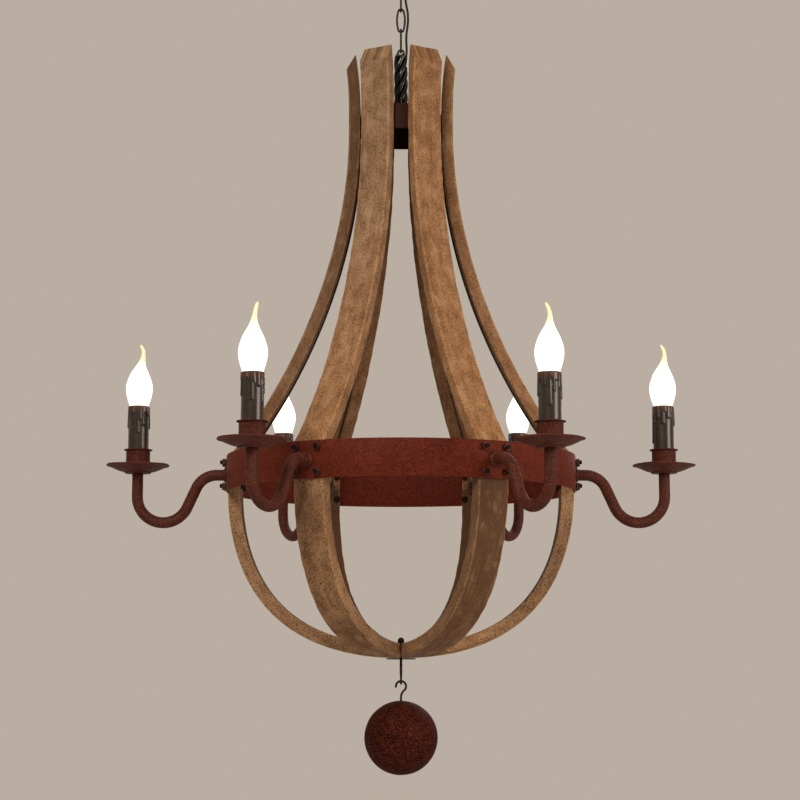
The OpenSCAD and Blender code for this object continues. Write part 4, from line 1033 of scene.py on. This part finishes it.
LINK_WIRE = 1.5
LINK_HALF_LONG, LINK_HALF_WIDE = 16.5, 5.5      # along the wire's middle
LINK_END = 3.8
WELD_BULGE = 0.1
end_z = LINK_HALF_LONG - LINK_END
side_radius = (LINK_HALF_WIDE ** 2 + end_z ** 2 - LINK_END ** 2) / (2 * (LINK_HALF_WIDE - LINK_END))
side_x = LINK_HALF_WIDE - side_radius
meet = degrees(atan(end_z / -side_x))
half = arc((side_x, 0), side_radius, -meet, meet, 30)
half += arc((0, end_z), LINK_END, meet, 180 - meet, 24)[1:-1]
oval = half + [-p for p in half]
radii = [LINK_WIRE * (1 + WELD_BULGE * exp(-((p.z + 2) / 1.3) ** 2) * (p.x > 0)) for p in oval]
for i in range(1, 5):
    low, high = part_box(f"chain_link_{i}")
    part = moved(tube(oval, radii, 20, True), shifted(z=(low[2] + high[2]) / 2 / MM),
                 spun(0 if i % 2 else 90))
    add_piece(f"oval_link_{i}", [part], chain_paint, f"link_{i}", [f"chain_link_{i}"],
              sharp=60)

# ---- Canopy ----
# A spun steel dish against the ceiling hides the bar and the terminal block. A threaded loop
# comes down through it from the bar's boss, with a knurled ring nut that holds it up.

canopy_paint = rust_painted("rust_paint_canopy", "#46211a", "#6e3f30", "#2a120d")
low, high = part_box("canopy")
CANOPY_LOW = low[2] / MM
CANOPY_RADIUS = 60
CANOPY_WALL = 1.2
CANOPY_HOLE = 5.3
DOME = [(CANOPY_RADIUS, 0), (CANOPY_RADIUS, CANOPY_LOW * 0.75), (CANOPY_RADIUS * 0.84, CANOPY_LOW),
        (CANOPY_RADIUS * 0.6, CANOPY_LOW)]
outside = [bezier(DOME, k / 40) for k in range(1, 41)]
within = [beside(DOME, 1 - k / 40, -CANOPY_WALL) for k in range(40)]
outline = [(CANOPY_RADIUS - 0.4, -0.02)] + [tuple(p) for p in outside]
outline += [(CANOPY_HOLE, CANOPY_LOW), (CANOPY_HOLE, CANOPY_LOW + CANOPY_WALL)]
outline += [tuple(p) for p in within] + [(CANOPY_RADIUS - CANOPY_WALL + 0.2, -0.02)]
add_piece("ceiling_canopy", [turned(outline, 120)], canopy_paint, "ceiling_mount",
          ["canopy"], sharp=50)

RING_NUT = 9
low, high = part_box("canopy_ring_nut")
nut_low, nut_high = low[2] / MM, high[2] / MM
rings = []
for r, z in ((5.1, nut_low), (RING_NUT - 1.2, nut_low), (RING_NUT - 0.25, nut_low + 1),
             (RING_NUT - 0.25, nut_high - 1), (RING_NUT - 1.2, nut_high), (5.1, nut_high)):
    smooth_ring, ridged = circle(r, z, 96), circle(r + 0.25, z, 96)
    rings.append([ridged[s] if s % 2 and r > 8 else smooth_ring[s] for s in range(96)])
add_piece("ring_nut", [skin(rings, True)], canopy_paint, "ceiling_mount",
          ["canopy_ring_nut"], sharp=30)

low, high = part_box("canopy_loop")
LOOP_RADIUS, LOOP_WIRE = 9, 1.8
loop_z = low[2] / MM + LOOP_WIRE + LOOP_RADIUS
loop_top = loop_z + LOOP_RADIUS
loop = tube(arc((0, loop_z), LOOP_RADIUS, 0, 355, 71), LOOP_WIRE, 24, True)
neck = tube([(0, 0, loop_top - 1), (0, 0, loop_top + 0.4), (0, 0, loop_top + 1.5)], [2.6, 4.2, 5])
loop_thread = threaded(THREAD, loop_top + 1.4, high[2] / MM, PITCH, GROOVE, 32)
add_piece("threaded_loop", [moved(loop, spun(90)), neck, loop_thread], chain_paint, "ceiling_mount",
          ["canopy_loop"], sharp=40)

# Cream nylon: pale, dull and slightly waxy.
nylon = plain("moulded_nylon", "#e2dccb", "#d6cfbb", 0.5)
dressed("mounting_bar", zinc, 0.5)
dressed("terminal_block", nylon, 0.6)

# ---- Supply cable ----
# Thin black cable, 3.2 mm, from the terminal block through a bush in the canopy and down beside
# the chain to the leads. It is held at both ends and is drawn as one stretch for each chain joint.

CABLE_RADIUS = 1.6
CABLE_HOLE = 1.85
BUSH_X = 20
# Extruded PVC: black, with a dull skin.
cable_plastic = plain("black_pvc_flex", "#0c0908", "#171210", 0.42, 0.15, grain=1.5, relief=0.03)
low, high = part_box("cable_bush")
bush_low, bush_high = low[2] / MM, high[2] / MM
outline = [(CABLE_HOLE, bush_low), (4.6, bush_low), (5.2, bush_low + 0.6), (5.0, bush_low + 1.4),
           (3.6, bush_low + 1.6), (3.6, bush_high - 0.5), (3.2, bush_high), (CABLE_HOLE, bush_high)]
add_piece("bush", [moved(turned(outline, 48), shifted(BUSH_X))], cable_plastic, "ceiling_mount",
          ["cable_bush"], sharp=40)

# The cable's way from the bush down, as (x, height above the stem's eye)
CABLE_ROUTE = [(20, 154), (20, 148), (20, 142), (19, 137), (17, 132), (14.2, 127), (11.6, 121),
               (10.2, 114), (9.7, 106), (9.2, 98), (8.4, 91), (7.4, 84), (6.6, 78), (6.6, 72),
               (7.4, 66), (8.6, 60), (9.5, 54), (9.9, 48), (9.9, 42), (9.4, 36), (8.6, 30),
               (7.9, 24), (7.5, 18), (7.5, 12), (7.8, 6), (8, 0), (7.8, -5)]
low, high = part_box("supply_cable")
route = [(BUSH_X, high[2] / MM)] + [(x, z + EYE_TOP) for x, z in CABLE_ROUTE]
cable_path = smooth(route + [(LEAD_CIRCLE + 0.5, low[2] / MM - 0.4)], 8)
joints = [joint["pos_m"][2] / MM for joint in frame["joints"][:5]]
ends = [1000] + [(a + b) / 2 for a, b in zip(joints, joints[1:])] + [-1000]
for k, joint_z in enumerate(joints):
    stretch = [p for p in cable_path if ends[k + 1] - 1.5 <= p.z <= ends[k]]
    piece = add_piece(f"supply_cable_{k + 1}", [tube(stretch, CABLE_RADIUS, 14)], cable_plastic, None,
                      ["supply_cable"], sharp=70)
    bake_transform(piece)

# ---- Plate and eye bolt ----
# A small steel plate under the bowl takes the stave tips. The eye bolt comes up through it to a
# washer and a domed nut inside the bowl, and its eye carries the ball.

EYE_BOLT_HOLE = 2.1
low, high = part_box("bottom_plate")
plate = strip_outline(EYE_BOLT_HOLE, 19.5, low[2] / MM, high[2] / MM, 0.4)
# The plate's paint is nearly black and quite matt.
plate_paint = rust_painted("rust_paint_plate", "#1f0d09", "#3a1b14", "#100504", grit=1.3, rough=0.7,
                           gloss=0)
add_piece("tip_plate", [turned(plate, 72)], plate_paint, "frame", ["bottom_plate"])

low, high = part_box("eye_bolt")
HOOK_WIRE = 1.5
EYE_BOLT = 1.9
EYE_BOLT_RADIUS = 5
eye_z = low[2] / MM + HOOK_WIRE + EYE_BOLT_RADIUS
rod_low = eye_z + EYE_BOLT_RADIUS
eye = tube(arc((0, eye_z), EYE_BOLT_RADIUS, 0, 352.5, 47), HOOK_WIRE, 18, True)
rod = tube([(0, 0, rod_low + z) for z in (-0.6, 1, 3, 14)], [1.2, 1.7, EYE_BOLT, EYE_BOLT])
bolt_end = threaded(EYE_BOLT, rod_low + 14, high[2] / MM, 0.8, 0.3)
add_piece("ball_eye", [moved(eye, spun(90)), rod, bolt_end], chain_paint, "frame",
          ["eye_bolt"], sharp=40)

WASHER = 1.2
CAP_RADIUS = 4.4
low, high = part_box("eye_bolt_nut")
washer_z, dome_top = low[2] / MM, high[2] / MM
washer = turned(strip_outline(EYE_BOLT_HOLE, 7.48, washer_z, washer_z + WASHER, 0.3), 48)
acorn = moved(nut(2 * CAP_RADIUS, 4.2, 2.0), shifted(z=washer_z + WASHER))
cap = [(CAP_RADIUS * cos(a), dome_top - CAP_RADIUS + CAP_RADIUS * sin(a))
       for a in (radians(9 * k) for k in range(10))]
dome = turned([(3.6, dome_top - 4.7)] + cap + [(AXIS, dome_top), (AXIS, dome_top - 4.7)], 36)
add_piece("domed_nut", [washer, acorn, dome], bolt_paint_and_shade, "frame", ["eye_bolt_nut"],
          sharp=30)

# ---- Ball and hook ----
# A hollow steel ball, 98 mm across, pressed in two halves and welded, on an open hook of 3 mm
# wire. Its rust paint is the coarsest on the lamp, and nearly matt.

low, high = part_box("ball")
BALL_RADIUS = 49
BALL_ROWS, BALL_SIDES = 72, 120
ball_z = (low[2] + high[2]) / 2 / MM
outline = [(max(AXIS, BALL_RADIUS * sin(pi * k / BALL_ROWS)),
            -BALL_RADIUS * cos(pi * k / BALL_ROWS)) for k in range(BALL_ROWS + 1)]
smooth_ball, faces = turned(outline, BALL_SIDES)
dented = []
for p in map(Vector, smooth_ball):
    dent = 1 - 0.004 * (0.5 + noise.noise(p / 17)) - 0.0015 * (0.5 + noise.noise(p / 4.5))
    dented.append(p * dent + Vector((0, 0, ball_z)))
ball_paint = rust_painted("rust_paint_ball", "#33130d", "#6d3526", "#170704", rough=0.66, gloss=0.03,
                          relief=0.3)
add_piece("hanging_ball", [(dented, faces)], ball_paint, "pendant_ball", ["ball"],
          sharp=70)

low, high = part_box("ball_hook")
HOOK_RADIUS = 6.8
HOOK_RETURN = 50            # degrees past which the hook bends back to its shank
hook_z = high[2] / MM - HOOK_WIRE - HOOK_RADIUS
turn = radians(HOOK_RETURN)
return_radius = HOOK_RADIUS * cos(turn) / (1 - cos(turn))
return_centre = (return_radius, hook_z - (HOOK_RADIUS + return_radius) * sin(turn))
hook_path = arc((0, hook_z), HOOK_RADIUS, 195, -HOOK_RETURN, 48)
hook_path += arc(return_centre, return_radius, 180 - HOOK_RETURN, 180, 14)[1:]
hook_path.append(Vector((0, 0, ball_z + BALL_RADIUS - 8)))
radii = [HOOK_WIRE * min(1, 0.55 + 0.3 * k) for k in range(len(hook_path))]
add_piece("hook", [tube(hook_path, radii, 18)], chain_paint, "pendant_ball",
          ["ball_hook"], sharp=60)
